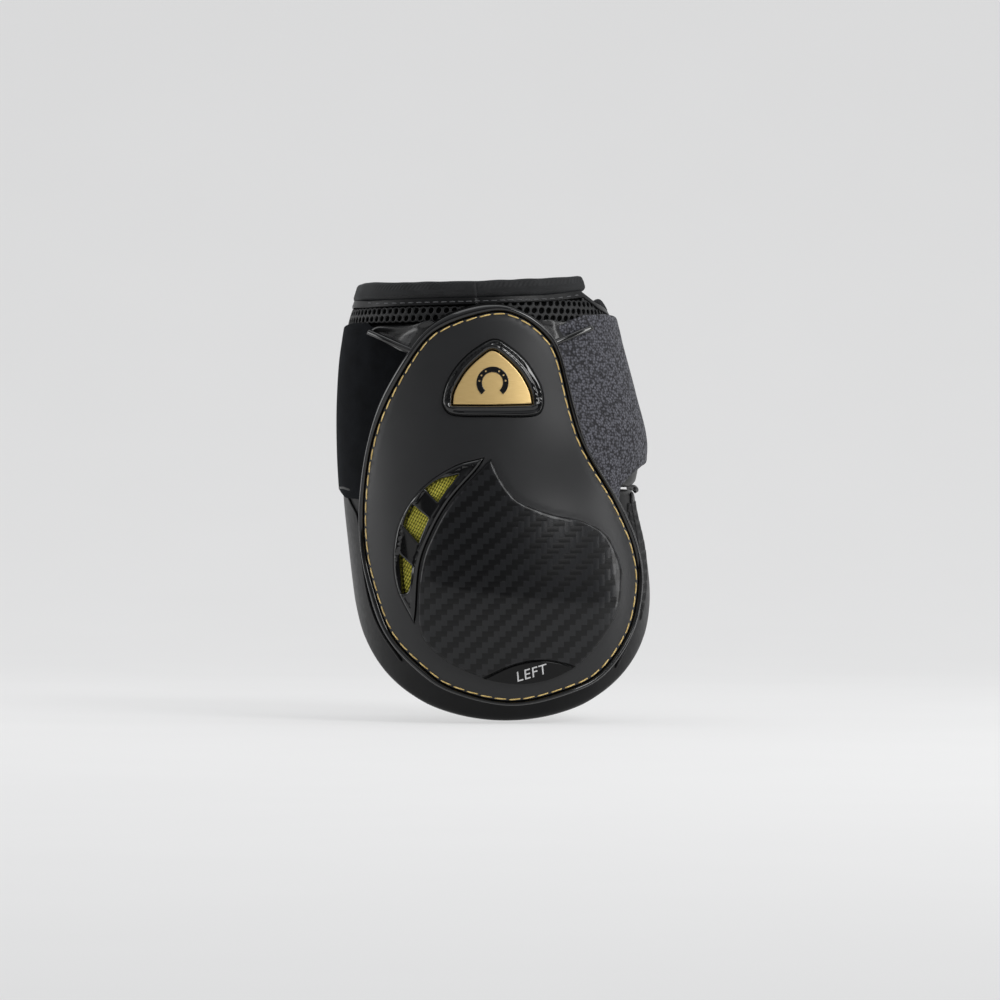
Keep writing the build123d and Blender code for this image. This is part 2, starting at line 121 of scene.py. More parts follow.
def chart(x, z, d):
    """Points over (x, z) on the front of the liner's outer face, d outwards along its normal."""
    x, z, d = np.broadcast_arrays(*(np.asarray(v, float) for v in (x, z, d)))
    return chart_base(x, z) + d[..., None] * chart_normal(x, z)


def wrap_base(theta, z):
    cx, cy, rx, ry = ellipse_at(z)
    return np.stack((cx + rx * np.sin(theta), cy - ry * np.cos(theta), z + 0 * theta), -1)


def wrap(theta, z, d):
    """Points round the wrap: theta is 0 in front, grows towards +X, and is in radians."""
    theta, z, d = np.broadcast_arrays(*(np.asarray(v, float) for v in (theta, z, d)))
    step = 0.002
    along = wrap_base(theta + step, z) - wrap_base(theta - step, z)
    up = wrap_base(theta, z + 0.05) - wrap_base(theta, z - 0.05)
    return wrap_base(theta, z) + d[..., None] * unit(np.cross(along, up))


def arc_length(theta, z):
    """Distance round the wrap from its front, in mm, for a fabric's own coordinates."""
    _, _, rx, ry = ellipse_at(z)
    return theta * (rx + ry) / 2


# ---------------------------------------------------------------- outlines


def catmull_rom(a, b, c, d, spacing):
    """Points from b up to c along the curve through all four."""
    count = max(2, int(np.linalg.norm(c - b) / spacing))
    t = (np.arange(count) / count)[:, None]
    return 0.5 * (2 * b + (c - a) * t + (2 * a - 5 * b + 4 * c - d) * t**2 + (3 * b - a - 3 * c + d) * t**3)


def smooth_loop(points, spacing=0.8):
    """Dense points along a closed Catmull-Rom curve."""
    p = np.array(points, float)
    out = []
    for i in range(len(p)):
        a, b, c, d = p[i - 1], p[i], p[(i + 1) % len(p)], p[(i + 2) % len(p)]
        out.append(catmull_rom(a, b, c, d, spacing))
    return np.concatenate(out)


def smooth_path(points, spacing=0.8):
    """Dense points along an open Catmull-Rom curve, ends included."""
    p = np.array(points, float)
    p = np.vstack((2 * p[0] - p[1], p, 2 * p[-1] - p[-2]))
    out = []
    for i in range(1, len(p) - 2):
        a, b, c, d = p[i - 1:i + 3]
        out.append(catmull_rom(a, b, c, d, spacing))
    out.append(p[-2][None, :])
    return np.concatenate(out)


def joined(*curves, spacing=0.8):
    """Dense closed loop of smooth curves that meet at corners."""
    return np.concatenate([smooth_path(curve, spacing)[:-1] for curve in curves])


def area_of(loop):
    n = np.roll(loop, -1, axis=0)
    return 0.5 * np.sum(loop[:, 0] * n[:, 1] - loop[:, 1] * n[:, 0])


def outward_of(loop):
    along = unit(np.roll(loop, -1, axis=0) - np.roll(loop, 1, axis=0))
    return np.column_stack((along[:, 1], -along[:, 0])) * np.sign(area_of(loop))


def moved_out(loop, amount):
    """Loop shifted along its own normals, outwards where the amount is positive."""
    return loop + outward_of(loop) * amount


def distance_to(points, loop):
    """Distance from each point to a closed loop."""
    a = loop
    ab = np.roll(loop, -1, axis=0) - a
    out = np.full(len(points), 1e9)
    length2 = np.maximum((ab**2).sum(1), 1e-12)
    for s in range(0, len(points), 2000):
        p = points[s:s + 2000, None, :]
        t = np.clip(((p - a) * ab).sum(2) / length2, 0, 1)
        out[s:s + 2000] = np.sqrt((((a + t[..., None] * ab) - p)**2).sum(2)).min(1)
    return out


def inside(points, loop):
    x, y = points[:, 0][:, None], points[:, 1][:, None]
    x0, y0 = loop[:, 0], loop[:, 1]
    x1, y1 = np.roll(x0, -1), np.roll(y0, -1)
    crosses = (y0 > y) != (y1 > y)
    with np.errstate(divide="ignore", invalid="ignore"):
        at = x0 + (y - y0) * (x1 - x0) / (y1 - y0)
    return (crosses & (x < at)).sum(1) % 2 == 1


RIM_OUTLINE = [
    (-1, 105.2), (7.5, 103), (15.5, 99), (20.2, 94), (23.5, 84), (27.8, 68), (32.3, 52), (37, 43.5),
    (44.7, 28), (48.8, 17), (50.3, 2), (47.4, -14.5), (39, -29), (25.7, -36.8), (6, -40.8), (-15.3, -36),
    (-28.5, -27), (-39.2, -12), (-44.2, 6), (-45.7, 26), (-45, 46), (-41.5, 66), (-36, 79), (-27, 93.2),
    (-18.4, 101), (-8.5, 104.5),
]
STITCH_OUTLINE = [
    (-1.3, 100.3), (7.5, 98.8), (15.2, 93), (20.1, 84.5), (24.6, 65.8), (28.6, 53.2), (35.8, 39.3),
    (42.4, 25.2), (46.4, 14.3), (47.8, 2), (44.7, -13.4), (36, -26.7), (25.3, -33.1), (6, -37.6),
    (-13.2, -33.2), (-23.9, -25.6), (-33.9, -14.4), (-39.6, 0.6), (-43.1, 16.8), (-43.5, 35.1),
    (-40.9, 54.5), (-35.3, 70.6), (-25, 88.4), (-16.3, 95.7),
]
INSERT_RIGHT = [
    (-1.4, 48.1), (1.2, 41.9), (4.5, 36.2), (8.7, 31.9), (18.4, 27.7), (29.4, 24.8), (37.4, 19.5),
    (41.7, 10.5), (42.6, 4.2), (40.7, -7.8), (33, -20.5), (26.9, -26.4),
]
LABEL_TOP = [(26.9, -26.4), (22.6, -24.8), (15, -23.7), (6, -25.5), (-3.6, -30.2)]
LABEL_BOTTOM = [(-3.6, -30.2), (1.7, -31.4), (8, -32.1), (14.3, -31.5), (20.5, -29.7), (26.9, -26.4)]
INSERT_LEFT = [
    (-3.6, -30.2), (-14.8, -24.7), (-23.1, -16.7), (-25.2, -6.4), (-24.1, 9.6), (-20.5, 20.9),
    (-14.4, 32.6), (-5.3, 43.9), (-1.4, 48.1),
]
VENT_OUTER = [
    (-3.6, 48.4), (-13.8, 45.2), (-24.5, 37.5), (-31.6, 26.6), (-33.8, 14.3), (-32.6, 1.8), (-26.8, -10.8),
]
VENT_INNER = [
    (-26.8, -10.8), (-26.2, -6.4), (-25.1, 9.6), (-21.5, 20.9), (-15.4, 32.6), (-6.3, 43.9), (-3.6, 48.4),
]
WINDOW_OUTER = [(-12.2, 42.4), (-21.1, 39.2), (-28.7, 30.2), (-31.9, 16.6), (-31, -0.3)]
WINDOW_INNER = [(-31, -0.3), (-28.5, 1), (-27.2, 11), (-24.3, 21), (-19.8, 31.4), (-12.2, 42.4)]
UPPER_BAR = [(-28.5, 32.4), (-24.6, 38.3), (-18.8, 31.7), (-21.6, 26)]
LOWER_BAR = [(-33.8, 15.8), (-32.4, 26.2), (-24.6, 16.6), (-26.2, 8.2)]
BEZEL_OUTLINE = [
    (-0.8, 91.5), (-7.7, 87.6), (-12.7, 82.6), (-16, 77.1), (-17.7, 71.5), (-17.6, 67), (-13.8, 63.8),
    (-0.5, 63.2), (12.8, 63.3), (16, 66.6), (15.6, 73.2), (12.8, 79.2), (9.4, 84.3), (4.3, 88.9),
]
PLATE_FOOT = [(-14.4, 67.8), (-1, 67.6), (12.2, 67.8)]
PLATE_ARC = [
    (12.2, 67.8), (11.6, 71.4), (10.1, 75.2), (7.5, 79.6), (3.2, 84.3), (-1, 87.2), (-4.6, 85.2),
    (-9.4, 80.4), (-12.6, 75.1), (-14, 71.4), (-14.4, 67.8),
]
LEFT_WING = [
    (-45.8, 94.6), (-42.1, 97.2), (-36, 96.7), (-30, 97), (-22.5, 98.6), (-20, 97.3), (-29, 86.5),
    (-33, 87.6),
]
LEFT_LIP = [(-45.2, 95.4), (-39, 92.4), (-33.4, 89.7), (-27.6, 87)]
RIGHT_WING = [
    (14, 98), (18, 98.9), (23, 98.4), (31, 98.8), (34.6, 97.4), (34, 95.6), (22.8, 90.2), (20, 90), (17, 95),
]
RIGHT_LIP = [(34.2, 96.6), (28.5, 94.2), (23.6, 91.8), (18.8, 89.4)]
CUP_EDGE = np.array([
    (14, 37.6), (8, 20), (0, 0), (-14, -18), (-25, -30), (-37, -41.8), (-44, -47.7), (-60, -48.5)])
LETTERS_CENTRE = (12.0, -27.9)


# ---------------------------------------------------------------- meshes


def piece(name, vertices, faces, material, body=None, uv=None, smooth=True, slot=None, stands_for=()):
    """Object from points in mm, with its fabric coordinates, material and body. The slot argument is not
    used.
    """
    mesh = bpy.data.meshes.new(name)
    mesh.from_pydata([tuple(v) for v in np.asarray(vertices, float) * MM], [], [list(f) for f in faces])
    mesh.validate()
    if uv is not None:
        layer = mesh.uv_layers.new(name="cloth")
        index = np.zeros(len(mesh.loops), int)
        mesh.loops.foreach_get("vertex_index", index)
        layer.data.foreach_set("uv", (np.asarray(uv, float)[index] * MM).ravel().astype(np.float32))
    mesh.polygons.foreach_set("use_smooth", [smooth] * len(mesh.polygons))
    obj = bpy.data.objects.new(name, mesh)
    bpy.context.scene.collection.objects.link(obj)
    mesh.materials.append(material)
    if body:
        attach(obj, body)
    if stands_for:
        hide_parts(*stands_for)
    return obj


def cover_node(name, material):
    """Material on a CAD node that stays as it is."""
    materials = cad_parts[name].data.materials
    materials.clear()
    materials.append(material)


def fix_normals(obj):
    bm = bmesh.new()
    bm.from_mesh(obj.data)
    bmesh.ops.remove_doubles(bm, verts=bm.verts, dist=1e-6)
    bmesh.ops.recalc_face_normals(bm, faces=bm.faces)
    bm.to_mesh(obj.data)
    bm.free()
    return obj


def closed_faces(faces, count):
    """Faces of a closed sheet: the top's, the same on the layer count points later, and walls between."""
    edges = {}
    for f in faces:
        for a, b in zip(f, (*f[1:], f[0])):
            edges[(a, b)] = True
    under = [[count + i for i in f[::-1]] for f in faces]
    walls = [[a, count + a, count + b, b] for a, b in edges if (b, a) not in edges]
    return [*faces, *under, *walls]


# Rows of points inside a plate's outline, as shares of its edge radius.
EDGE_ROWS = (0.12, 0.35, 0.65, 1.0, 1.5)


def round_edge(distance, radius):
    """How far below the top a rounded edge lies, at a distance in from the outline."""
    short = radius - np.minimum(distance, radius)
    return radius - np.sqrt(np.maximum(radius**2 - short**2, 0))


def plate(name, outline, low, high, material, radius=0.5, holes=(), spacing=2.2, relief=None, **finish):
    """Plate on the front of the wrap over an (x, z) outline, with a rounded top edge and open holes."""
    loops = [outline, *holes]
    rings = []
    for k, loop in enumerate(loops):
        side = -1 if k == 0 else 1
        rows = [loop]
        for inset in EDGE_ROWS:
            rows.append(moved_out(loop, side * inset * radius))
        rings.append(rows)
    points = list(loops)
    edges = []
    start = 0
    for loop in loops:
        count = len(loop)
        edges += [(start + i, start + (i + 1) % count) for i in range(count)]
        start += count
    for k, rows in enumerate(rings):
        for inset, row in zip(EDGE_ROWS, rows[1:]):
            near = np.min([distance_to(row, loop) for loop in loops], axis=0)
            keep = near > 0.8 * inset * radius
            keep &= inside(row, outline)
            points.append(row[keep])
    lo, hi = outline.min(0), outline.max(0)
    xs = np.arange(lo[0], hi[0], spacing)
    zs = np.arange(lo[1], hi[1], spacing * 0.87)
    gx, gz = np.meshgrid(xs, zs)
    gx = gx + (np.arange(len(zs)) % 2)[:, None] * spacing / 2
    grid = np.column_stack((gx.ravel(), gz.ravel()))
    grid = grid[inside(grid, outline)]
    near = np.min([distance_to(grid, loop) for loop in loops], axis=0)
    grid = grid[near > EDGE_ROWS[-1] * radius + 0.4]
    for hole in holes:
        grid = grid[~inside(grid, hole)]
    points.append(grid)
    flat = np.concatenate(points)
    made = delaunay_2d_cdt([Vector(p) for p in flat], edges, [], 0, 1e-5)
    flat = np.array([tuple(v) for v in made[0]])
    faces = np.array([f for f in made[2] if len(f) == 3])
    middle = flat[faces].mean(1)
    keep = inside(middle, outline)
    for hole in holes:
        keep &= ~inside(middle, hole)
    faces = faces[keep]
    near = np.min([distance_to(flat, loop) for loop in loops], axis=0)
    drop = round_edge(near, radius)
    top = np.full(len(flat), float(high)) - drop
    if relief is not None:
        top = top + relief(flat)
    upper = chart(flat[:, 0], flat[:, 1], top)
    lower = chart(flat[:, 0], flat[:, 1], low)
    count = len(flat)
    a, b, c = flat[faces[:, 0]], flat[faces[:, 1]], flat[faces[:, 2]]
    wind = (b[:, 0] - a[:, 0]) * (c[:, 1] - a[:, 1]) - (b[:, 1] - a[:, 1]) * (c[:, 0] - a[:, 0])
    faces = np.where((wind > 0)[:, None], faces, faces[:, ::-1])
    uv = np.concatenate((flat, flat))
    every = closed_faces(faces.tolist(), count)
    return fix_normals(piece(name, np.concatenate((upper, lower)), every, material, uv=uv, **finish))


def strip(name, rows, material, closed=True, uv=None, caps=False, **finish):
    """Quad strip through rows of points (stations, profile, 3); the profile closes on itself."""
    rows = np.asarray(rows, float)
    n, m = rows.shape[:2]
    faces = []
    for i in range(n if closed else n - 1):
        j = (i + 1) % n
        for k in range(m):
            l = (k + 1) % m
            faces.append((i * m + k, i * m + l, j * m + l, j * m + k))
    if caps:
        faces.append(tuple(range(m))[::-1])
        faces.append(tuple((n - 1) * m + k for k in range(m)))
    flat_uv = None if uv is None else np.asarray(uv, float).reshape(-1, 2)
    return fix_normals(piece(name, rows.reshape(-1, 3), faces, material, uv=flat_uv, **finish))


def slab(name, theta, z_low, z_high, low, high, material, rows=24, radius=0.6, relief=None,
         ends=(True, True), start=None, stop=None, **finish):
    """Closed sheet round the wrap from theta[0] to theta[-1], between two edges given for each theta.

    low and high are its inner and outer faces, as numbers or one for each theta. start and stop bend its two
    ends to an angle for each height. Edges are rounded over the radius in mm."""
    theta = np.asarray(theta, float)
    n = len(theta)
    sides = (z_low, z_high, low, high)
    z_low, z_high, low, high = (np.broadcast_to(np.asarray(v, float), (n,)) for v in sides)
    height = np.maximum(z_high - z_low, 1e-3)
    mean = height.mean()
    share = np.linspace(0, 1, rows)
    edge_share = np.array([0.08, 0.3, 0.65, 1.0]) * radius / mean
    share = share[(share > edge_share[-1] * 1.3) & (share < 1 - edge_share[-1] * 1.3)]
    share = np.unique(np.concatenate((share, edge_share, 1 - edge_share, [0, 1])))
    z = z_low[:, None] + share[None, :] * height[:, None]
    run = ((theta - theta[0]) / (theta[-1] - theta[0]))[:, None]
    first = theta[0] if start is None else start(z)
    last = theta[-1] if stop is None else stop(z)
    th = first * (1 - run) + last * run + 0 * z
    s = arc_length(th, z)
    near = np.minimum(share[None, :] * height[:, None], (1 - share)[None, :] * height[:, None])
    if ends[0]:
        near = np.minimum(near, np.abs(s - s[0]))
    if ends[1]:
        near = np.minimum(near, np.abs(s - s[-1]))
    drop = round_edge(near, radius)
    bump = 0 if relief is None else relief(s, z, near)
    outer = wrap(th, z, high[:, None] - drop + bump)
    inner = wrap(th, z, low[:, None] + np.minimum(drop, (high - low)[:, None] * 0.45))
    m = len(share)
    vertices = np.concatenate((outer.reshape(-1, 3), inner.reshape(-1, 3)))
    uv = np.concatenate((np.stack((s, z), -1).reshape(-1, 2),) * 2)
    off = n * m
    faces = []
    for i in range(n - 1):
        for k in range(m - 1):
            a, b, c, d = i * m + k, (i + 1) * m + k, (i + 1) * m + k + 1, i * m + k + 1
            faces.append((a, b, c, d))
            faces.append((off + d, off + c, off + b, off + a))
        faces.append((i * m, off + i * m, off + (i + 1) * m, (i + 1) * m))
        k = m - 1
        faces.append((i * m + k, (i + 1) * m + k, off + (i + 1) * m + k, off + i * m + k))
    for k in range(m - 1):
        faces.append((k, k + 1, off + k + 1, off + k))
        i = (n - 1) * m
        faces.append((i + k, off + i + k, off + i + k + 1, i + k + 1))
    obj = piece(name, vertices, faces, material, uv=uv, **finish)
    return fix_normals(obj)


def stitches(name, loop, pitch, size, depth, material, closed=True, tilt=0.0, lift_ends=0.0, keep=None,
             **finish):
    """Row of thread stitches along (x, z) points: small rounded capsules, pressed in at their ends."""
    step = np.linalg.norm(np.roll(loop, -1, axis=0) - loop, axis=1)
    if not closed:
        step = step[:-1]
    run = np.concatenate(([0], np.cumsum(step)))
    path = np.vstack((loop, loop[:1])) if closed else loop
    total = run[-1]
    count = int(round(total / pitch))
    length, width, thick = size
    along = np.array([-0.5, -0.46, -0.38, -0.25, 0, 0.25, 0.38, 0.46, 0.5])
    body = np.array([0.35, 0.7, 0.93, 1, 1.04, 1, 0.93, 0.7, 0.35])
    sides = 8
    vertices, faces = [], []
    for i in range(count):
        where = (i + 0.5) / count * total
        here = np.array([np.interp(where, run, path[:, k]) for k in (0, 1)])
        if keep is not None and not keep(here):
            continue
        ahead = np.array([np.interp(min(where + 0.4, total), run, path[:, k]) for k in (0, 1)])
        back = np.array([np.interp(max(where - 0.4, 0), run, path[:, k]) for k in (0, 1)])
        centre = chart(here[0], here[1], depth)
        direction = unit(chart(ahead[0], ahead[1], depth) - chart(back[0], back[1], depth))
        normal = chart_normal(np.float64(here[0]), np.float64(here[1]))
        side = np.cross(normal, direction)
        turn = tilt + rng.uniform(-0.02, 0.02)
        direction = direction * math.cos(turn) + side * math.sin(turn)
        side = np.cross(normal, direction)
        first = len(vertices)
        for a, r in zip(along, body):
            for k in range(sides):
                phi = 2 * math.pi * k / sides
                sink = lift_ends * (2 * abs(a))**3
                point = (centre + direction * a * length + side * math.cos(phi) * width / 2 * r
                         + normal * (math.sin(phi) * thick / 2 * r - sink))
                vertices.append(point)
        rings = len(along)
        for a in range(rings - 1):
            for k in range(sides):
                l = (k + 1) % sides
                faces.append((first + a * sides + k, first + a * sides + l,
                              first + (a + 1) * sides + l, first + (a + 1) * sides + k))
        faces.append(tuple(first + k for k in range(sides))[::-1])
        faces.append(tuple(first + (rings - 1) * sides + k for k in range(sides)))
    return piece(name, np.array(vertices), faces, material, **finish)


# ---------------------------------------------------------------- materials


class Nodes:
    """Short way to build a node tree round one Principled shader."""

    def __init__(self, name, **sockets):
        self.material = bpy.data.materials.new(name)
        self.material.use_nodes = True
        self.tree = self.material.node_tree
        self.shader = self.tree.nodes["Principled BSDF"]
        for key, value in sockets.items():
            self.shader.inputs[key.replace("_", " ")].default_value = value

    def add(self, kind, **values):
        node = self.tree.nodes.new("ShaderNode" + kind)
        for key, value in values.items():
            if hasattr(node, key):
                setattr(node, key, value)
            else:
                node.inputs[key.replace("_", " ")].default_value = value
        return node

    def link(self, a, b):
        self.tree.links.new(a, b)

    def cloth(self, scale=1.0, rotation=0.0):
        """Fabric coordinates in mm times a scale."""
        uv = self.add("UVMap", uv_map="cloth")
        mapping = self.add("Mapping")
        mapping.inputs["Scale"].default_value = (1000 * scale,) * 3
        mapping.inputs["Rotation"].default_value = (0, 0, rotation)
        self.link(uv.outputs[0], mapping.inputs[0])
        return mapping.outputs[0]

    def place(self, scale=1.0):
        """Object coordinates in mm times a scale."""
        source = self.add("TexCoord")
        mapping = self.add("Mapping")
        mapping.inputs["Scale"].default_value = (1000 * scale,) * 3
        self.link(source.outputs["Object"], mapping.inputs[0])
        return mapping.outputs[0]

    def noise(self, vector, scale, detail=3.0, rough=0.55):
        node = self.add("TexNoise", Scale=scale, Detail=detail, Roughness=rough)
        self.link(vector, node.inputs["Vector"])
        return node.outputs["Fac"]

    def ramp(self, value, stops):
        """Colours, or plain greys given as one number, along a value."""
        node = self.add("ValToRGB")
        elements = node.color_ramp.elements
        while len(elements) < len(stops):
            elements.new(0.5)
        for element, (at, colour) in zip(elements, stops):
            element.position = at
            element.color = (colour, colour, colour, 1) if isinstance(colour, (int, float)) else (*colour, 1)
        self.link(value, node.inputs["Fac"])
        return node.outputs["Color"]

    def maths(self, operation, a, b=None):
        node = self.add("Math", operation=operation)
        for i, v in enumerate((a, b)):
            if v is None:
                continue
            if isinstance(v, (int, float)):
                node.inputs[i].default_value = v
            else:
                self.link(v, node.inputs[i])
        return node.outputs[0]

    def bump(self, height, strength, distance, under=None):
        node = self.add("Bump", Strength=strength, Distance=distance * MM)
        self.link(height, node.inputs["Height"])
        if under is not None:
            self.link(under, node.inputs["Normal"])
        return node.outputs["Normal"]

    def use(self, colour=None, roughness=None, normal=None):
        if colour is not None:
            self.link(colour, self.shader.inputs["Base Color"])
        if roughness is not None:
            self.link(roughness, self.shader.inputs["Roughness"])
        if normal is not None:
            self.link(normal, self.shader.inputs["Normal"])
        return self.material


def grey(v, blue=1.0):
    return (v, v * (1 + 0.02 * blue), v * (1 + 0.08 * blue))


def gloss_moulding(name, level=0.0022, rough=0.07, shine=0.5):
    n = Nodes(name, Coat_Weight=0.4 * shine, Coat_Roughness=0.04, Specular_IOR_Level=shine)
    where = n.place()
    fine = n.noise(where, 0.35, 4)
    colour = n.ramp(fine, [(0.3, grey(level)), (0.75, grey(level * 1.5))])
    roughness = n.ramp(n.noise(where, 0.9, 5), [(0.3, rough), (0.8, rough * 1.6)])
    return n.use(colour, roughness, n.bump(n.noise(where, 0.2, 1), 0.05, 0.2))


def satin_panel():
    n = Nodes("satin_panel", Specular_IOR_Level=0.4)
    where = n.place()
    colour = n.ramp(n.noise(where, 0.06, 2), [(0.3, grey(0.0135, 0.8)), (0.7, grey(0.0165, 0.8))])
    roughness = n.ramp(n.noise(where, 1.4, 4), [(0.3, 0.40), (0.75, 0.47)])
    return n.use(colour, roughness, n.bump(n.noise(where, 6.0, 2), 0.10, 0.05))


def carbon_twill():
    """2x2 twill: each tow passes over two and under two, one step along on every row."""
    n = Nodes("carbon_twill", Coat_Weight=0.2, Coat_Roughness=0.05, Specular_IOR_Level=0.2)
    tow = 1.9
    split = n.add("SeparateXYZ")
    n.link(n.cloth(1 / tow), split.inputs[0])
    x, y = split.outputs[0], split.outputs[1]
    column = n.maths("FLOOR", x)
    row = n.maths("FLOOR", y)
    phase = n.maths("MODULO", n.maths("ADD", n.maths("SUBTRACT", column, row), 4000.0), 4.0)
    over = n.maths("LESS_THAN", phase, 1.5)
    fx = n.maths("FRACT", x)
    fy = n.maths("FRACT", y)
    warp_line = n.maths("SINE", n.maths("MULTIPLY", fx, math.pi))
    weft_line = n.maths("SINE", n.maths("MULTIPLY", fy, math.pi))
    height = n.add("Mix", data_type="FLOAT")
    n.link(over, height.inputs[0])
    n.link(weft_line, height.inputs[2])
    n.link(warp_line, height.inputs[3])
    fibre_x = n.add("TexNoise", Scale=1.0, Detail=2.0)
    stretch = n.add("Mapping")
    stretch.inputs["Scale"].default_value = (14, 0.8, 1)
    n.link(n.cloth(1 / tow), stretch.inputs[0])
    n.link(stretch.outputs[0], fibre_x.inputs["Vector"])
    # Painted sheen: the tows lying over are painted lighter than the ones they cross, for how their fibres
    # catch the light.
    painted_tow_sheen = n.add("Mix", data_type="RGBA")
    n.link(over, painted_tow_sheen.inputs[0])
    painted_tow_sheen.inputs[6].default_value = (*grey(0.0008, 6), 1)
    painted_tow_sheen.inputs[7].default_value = (*grey(0.0125, 1.6), 1)
    shade = n.add("Mix", data_type="RGBA", blend_type="MULTIPLY")
    shade.inputs[0].default_value = 0.5
    n.link(painted_tow_sheen.outputs[2], shade.inputs[6])
    n.link(n.ramp(fibre_x.outputs["Fac"], [(0.2, 0.6), (0.8, 1.3)]), shade.inputs[7])
    roughness = n.ramp(over, [(0.0, 0.42), (1.0, 0.30)])
    return n.use(shade.outputs[2], roughness, n.bump(height.outputs[0], 0.35, 0.12))


def gold_thread():
    n = Nodes("gold_thread", Sheen_Weight=0.3)
    where = n.place()
    wave = n.add("TexWave", Scale=1.3, Distortion=0.4)
    n.link(where, wave.inputs["Vector"])
    colour = n.ramp(n.noise(where, 0.8, 3), [(0.3, (0.55, 0.36, 0.09)), (0.7, (0.98, 0.73, 0.28))])
    return n.use(colour, n.ramp(wave.outputs["Fac"], [(0, 0.42), (1, 0.6)]),
                 n.bump(wave.outputs["Fac"], 0.5, 0.1))


def fine_thread():
    n = Nodes("fine_thread", Sheen_Weight=0.2)
    where = n.place()
    colour = n.ramp(n.noise(where, 0.9, 2), [(0.3, grey(0.035)), (0.7, grey(0.07))])
    return n.use(colour, n.ramp(n.noise(where, 2.0), [(0, 0.5), (1, 0.7)]))


def brushed_gold():
    n = Nodes("brushed_gold", Metallic=0.75)
    stretch = n.add("Mapping")
    stretch.inputs["Scale"].default_value = (0.25, 7, 1)
    n.link(n.cloth(), stretch.inputs[0])
    grain = n.noise(stretch.outputs[0], 1.2, 4)
    colour = n.ramp(grain, [(0.2, (0.80, 0.55, 0.21)), (0.8, (0.97, 0.71, 0.33))])
    return n.use(colour, n.ramp(grain, [(0.2, 0.34), (0.8, 0.48)]), n.bump(grain, 0.08, 0.03))


def velvet():
    n = Nodes("velvet", Sheen_Weight=0.04, Sheen_Roughness=0.35, Specular_IOR_Level=0.08)
    n.shader.inputs["Sheen Tint"].default_value = (0.30, 0.36, 0.46, 1)
    where = n.cloth()
    patches = n.noise(where, 0.12, 4, 0.6)
    pile = n.noise(where, 2.6, 5, 0.7)
    colour = n.ramp(patches, [(0.25, (0.0006, 0.0009, 0.0014)), (0.8, (0.0060, 0.0070, 0.0090))])
    return n.use(colour, n.ramp(pile, [(0.2, 0.75), (0.8, 0.95)]), n.bump(pile, 0.8, 0.35))


def pebbled_strap():
    n = Nodes("pebbled_strap", Specular_IOR_Level=0.4)
    where = n.cloth()
    cells = n.add("TexVoronoi", Scale=1.0, Randomness=0.75)
    n.link(where, cells.inputs["Vector"])
    broad = n.noise(where, 0.08, 3)
    # Painted highlight and shade: the colour is light on each pebble's raised middle and near-black in the
    # hollows between pebbles.
    colour = n.ramp(cells.outputs["Distance"], [(0.05, (0.125, 0.127, 0.150)), (0.35, (0.075, 0.076, 0.092)),
                                                (0.70, (0.006, 0.006, 0.009))])
    roughness = n.ramp(cells.outputs["Distance"], [(0.1, 0.38), (0.7, 0.7)])
    flipped = n.maths("SUBTRACT", 1.0, cells.outputs["Distance"])
    soft = n.bump(broad, 0.2, 1.0)
    return n.use(colour, roughness, n.bump(flipped, 1.0, 0.6, soft))


def neoprene():
    n = Nodes("neoprene", Sheen_Weight=0.02, Specular_IOR_Level=0.2)
    where = n.cloth()
    knit = n.add("TexVoronoi", Scale=2.4, Randomness=0.35)
    n.link(where, knit.inputs["Vector"])
    colour = n.ramp(n.noise(where, 0.09, 4), [(0.3, grey(0.0032, 1.5)), (0.75, grey(0.0062, 1.2))])
    roughness = n.ramp(n.noise(where, 0.5, 3), [(0.2, 0.34), (0.8, 0.46)])
    wrinkles = n.bump(n.noise(where, 0.07, 3), 0.25, 1.2)
    return n.use(colour, roughness, n.bump(knit.outputs["Distance"], 0.25, 0.06, wrinkles))


def collar_cloth():
    n = Nodes("collar_cloth", Sheen_Weight=0.08, Specular_IOR_Level=0.3)
    n.shader.inputs["Sheen Tint"].default_value = (0.5, 0.55, 0.6, 1)
    where = n.cloth()
    ribs = n.add("TexWave", Scale=0.42, Distortion=1.2, Detail=2.0)
    ribs.inputs["Detail Scale"].default_value = 0.6
    slope = n.add("Mapping")
    slope.inputs["Rotation"].default_value = (0, 0, math.radians(62))
    n.link(where, slope.inputs[0])
    n.link(slope.outputs[0], ribs.inputs["Vector"])
    knit = n.noise(where, 3.5, 3)
    colour = n.ramp(n.noise(where, 0.15, 3), [(0.3, grey(0.007, 1)), (0.75, grey(0.014, 1))])
    under = n.bump(ribs.outputs["Fac"], 0.35, 0.4)
    return n.use(colour, n.ramp(knit, [(0.2, 0.62), (0.8, 0.8)]), n.bump(knit, 0.4, 0.12, under))


def lining_cloth():
    n = Nodes("lining_cloth", Sheen_Weight=0.15, Specular_IOR_Level=0.25)
    where = n.cloth()
    holes = n.add("TexVoronoi", Scale=0.33, Randomness=0.0, feature="F1")
    n.link(where, holes.inputs["Vector"])
    dots = n.ramp(holes.outputs["Distance"], [(0.16, 0.0), (0.22, 1.0)])
    mix = n.add("Mix", data_type="RGBA")
    n.link(dots, mix.inputs[0])
    mix.inputs[6].default_value = (0.002, 0.002, 0.002, 1)
    n.link(n.ramp(n.noise(where, 0.2, 4), [(0.3, grey(0.018)), (0.7, grey(0.030))]), mix.inputs[7])
    weave = n.bump(n.noise(where, 3.0, 3), 0.3, 0.1)
    return n.use(mix.outputs[2], n.ramp(dots, [(0, 0.9), (1, 0.7)]), n.bump(dots, 0.7, 0.4, weave))


def spacer_mesh():
    n = Nodes("spacer_mesh", Sheen_Weight=0.05, Specular_IOR_Level=0.35)
    where = n.cloth()
    knit = n.noise(where, 3.2, 4)
    colour = n.ramp(knit, [(0.3, grey(0.003, 1)), (0.75, grey(0.012, 1))])
    return n.use(colour, n.ramp(knit, [(0, 0.45), (1, 0.7)]), n.bump(knit, 0.6, 0.15))


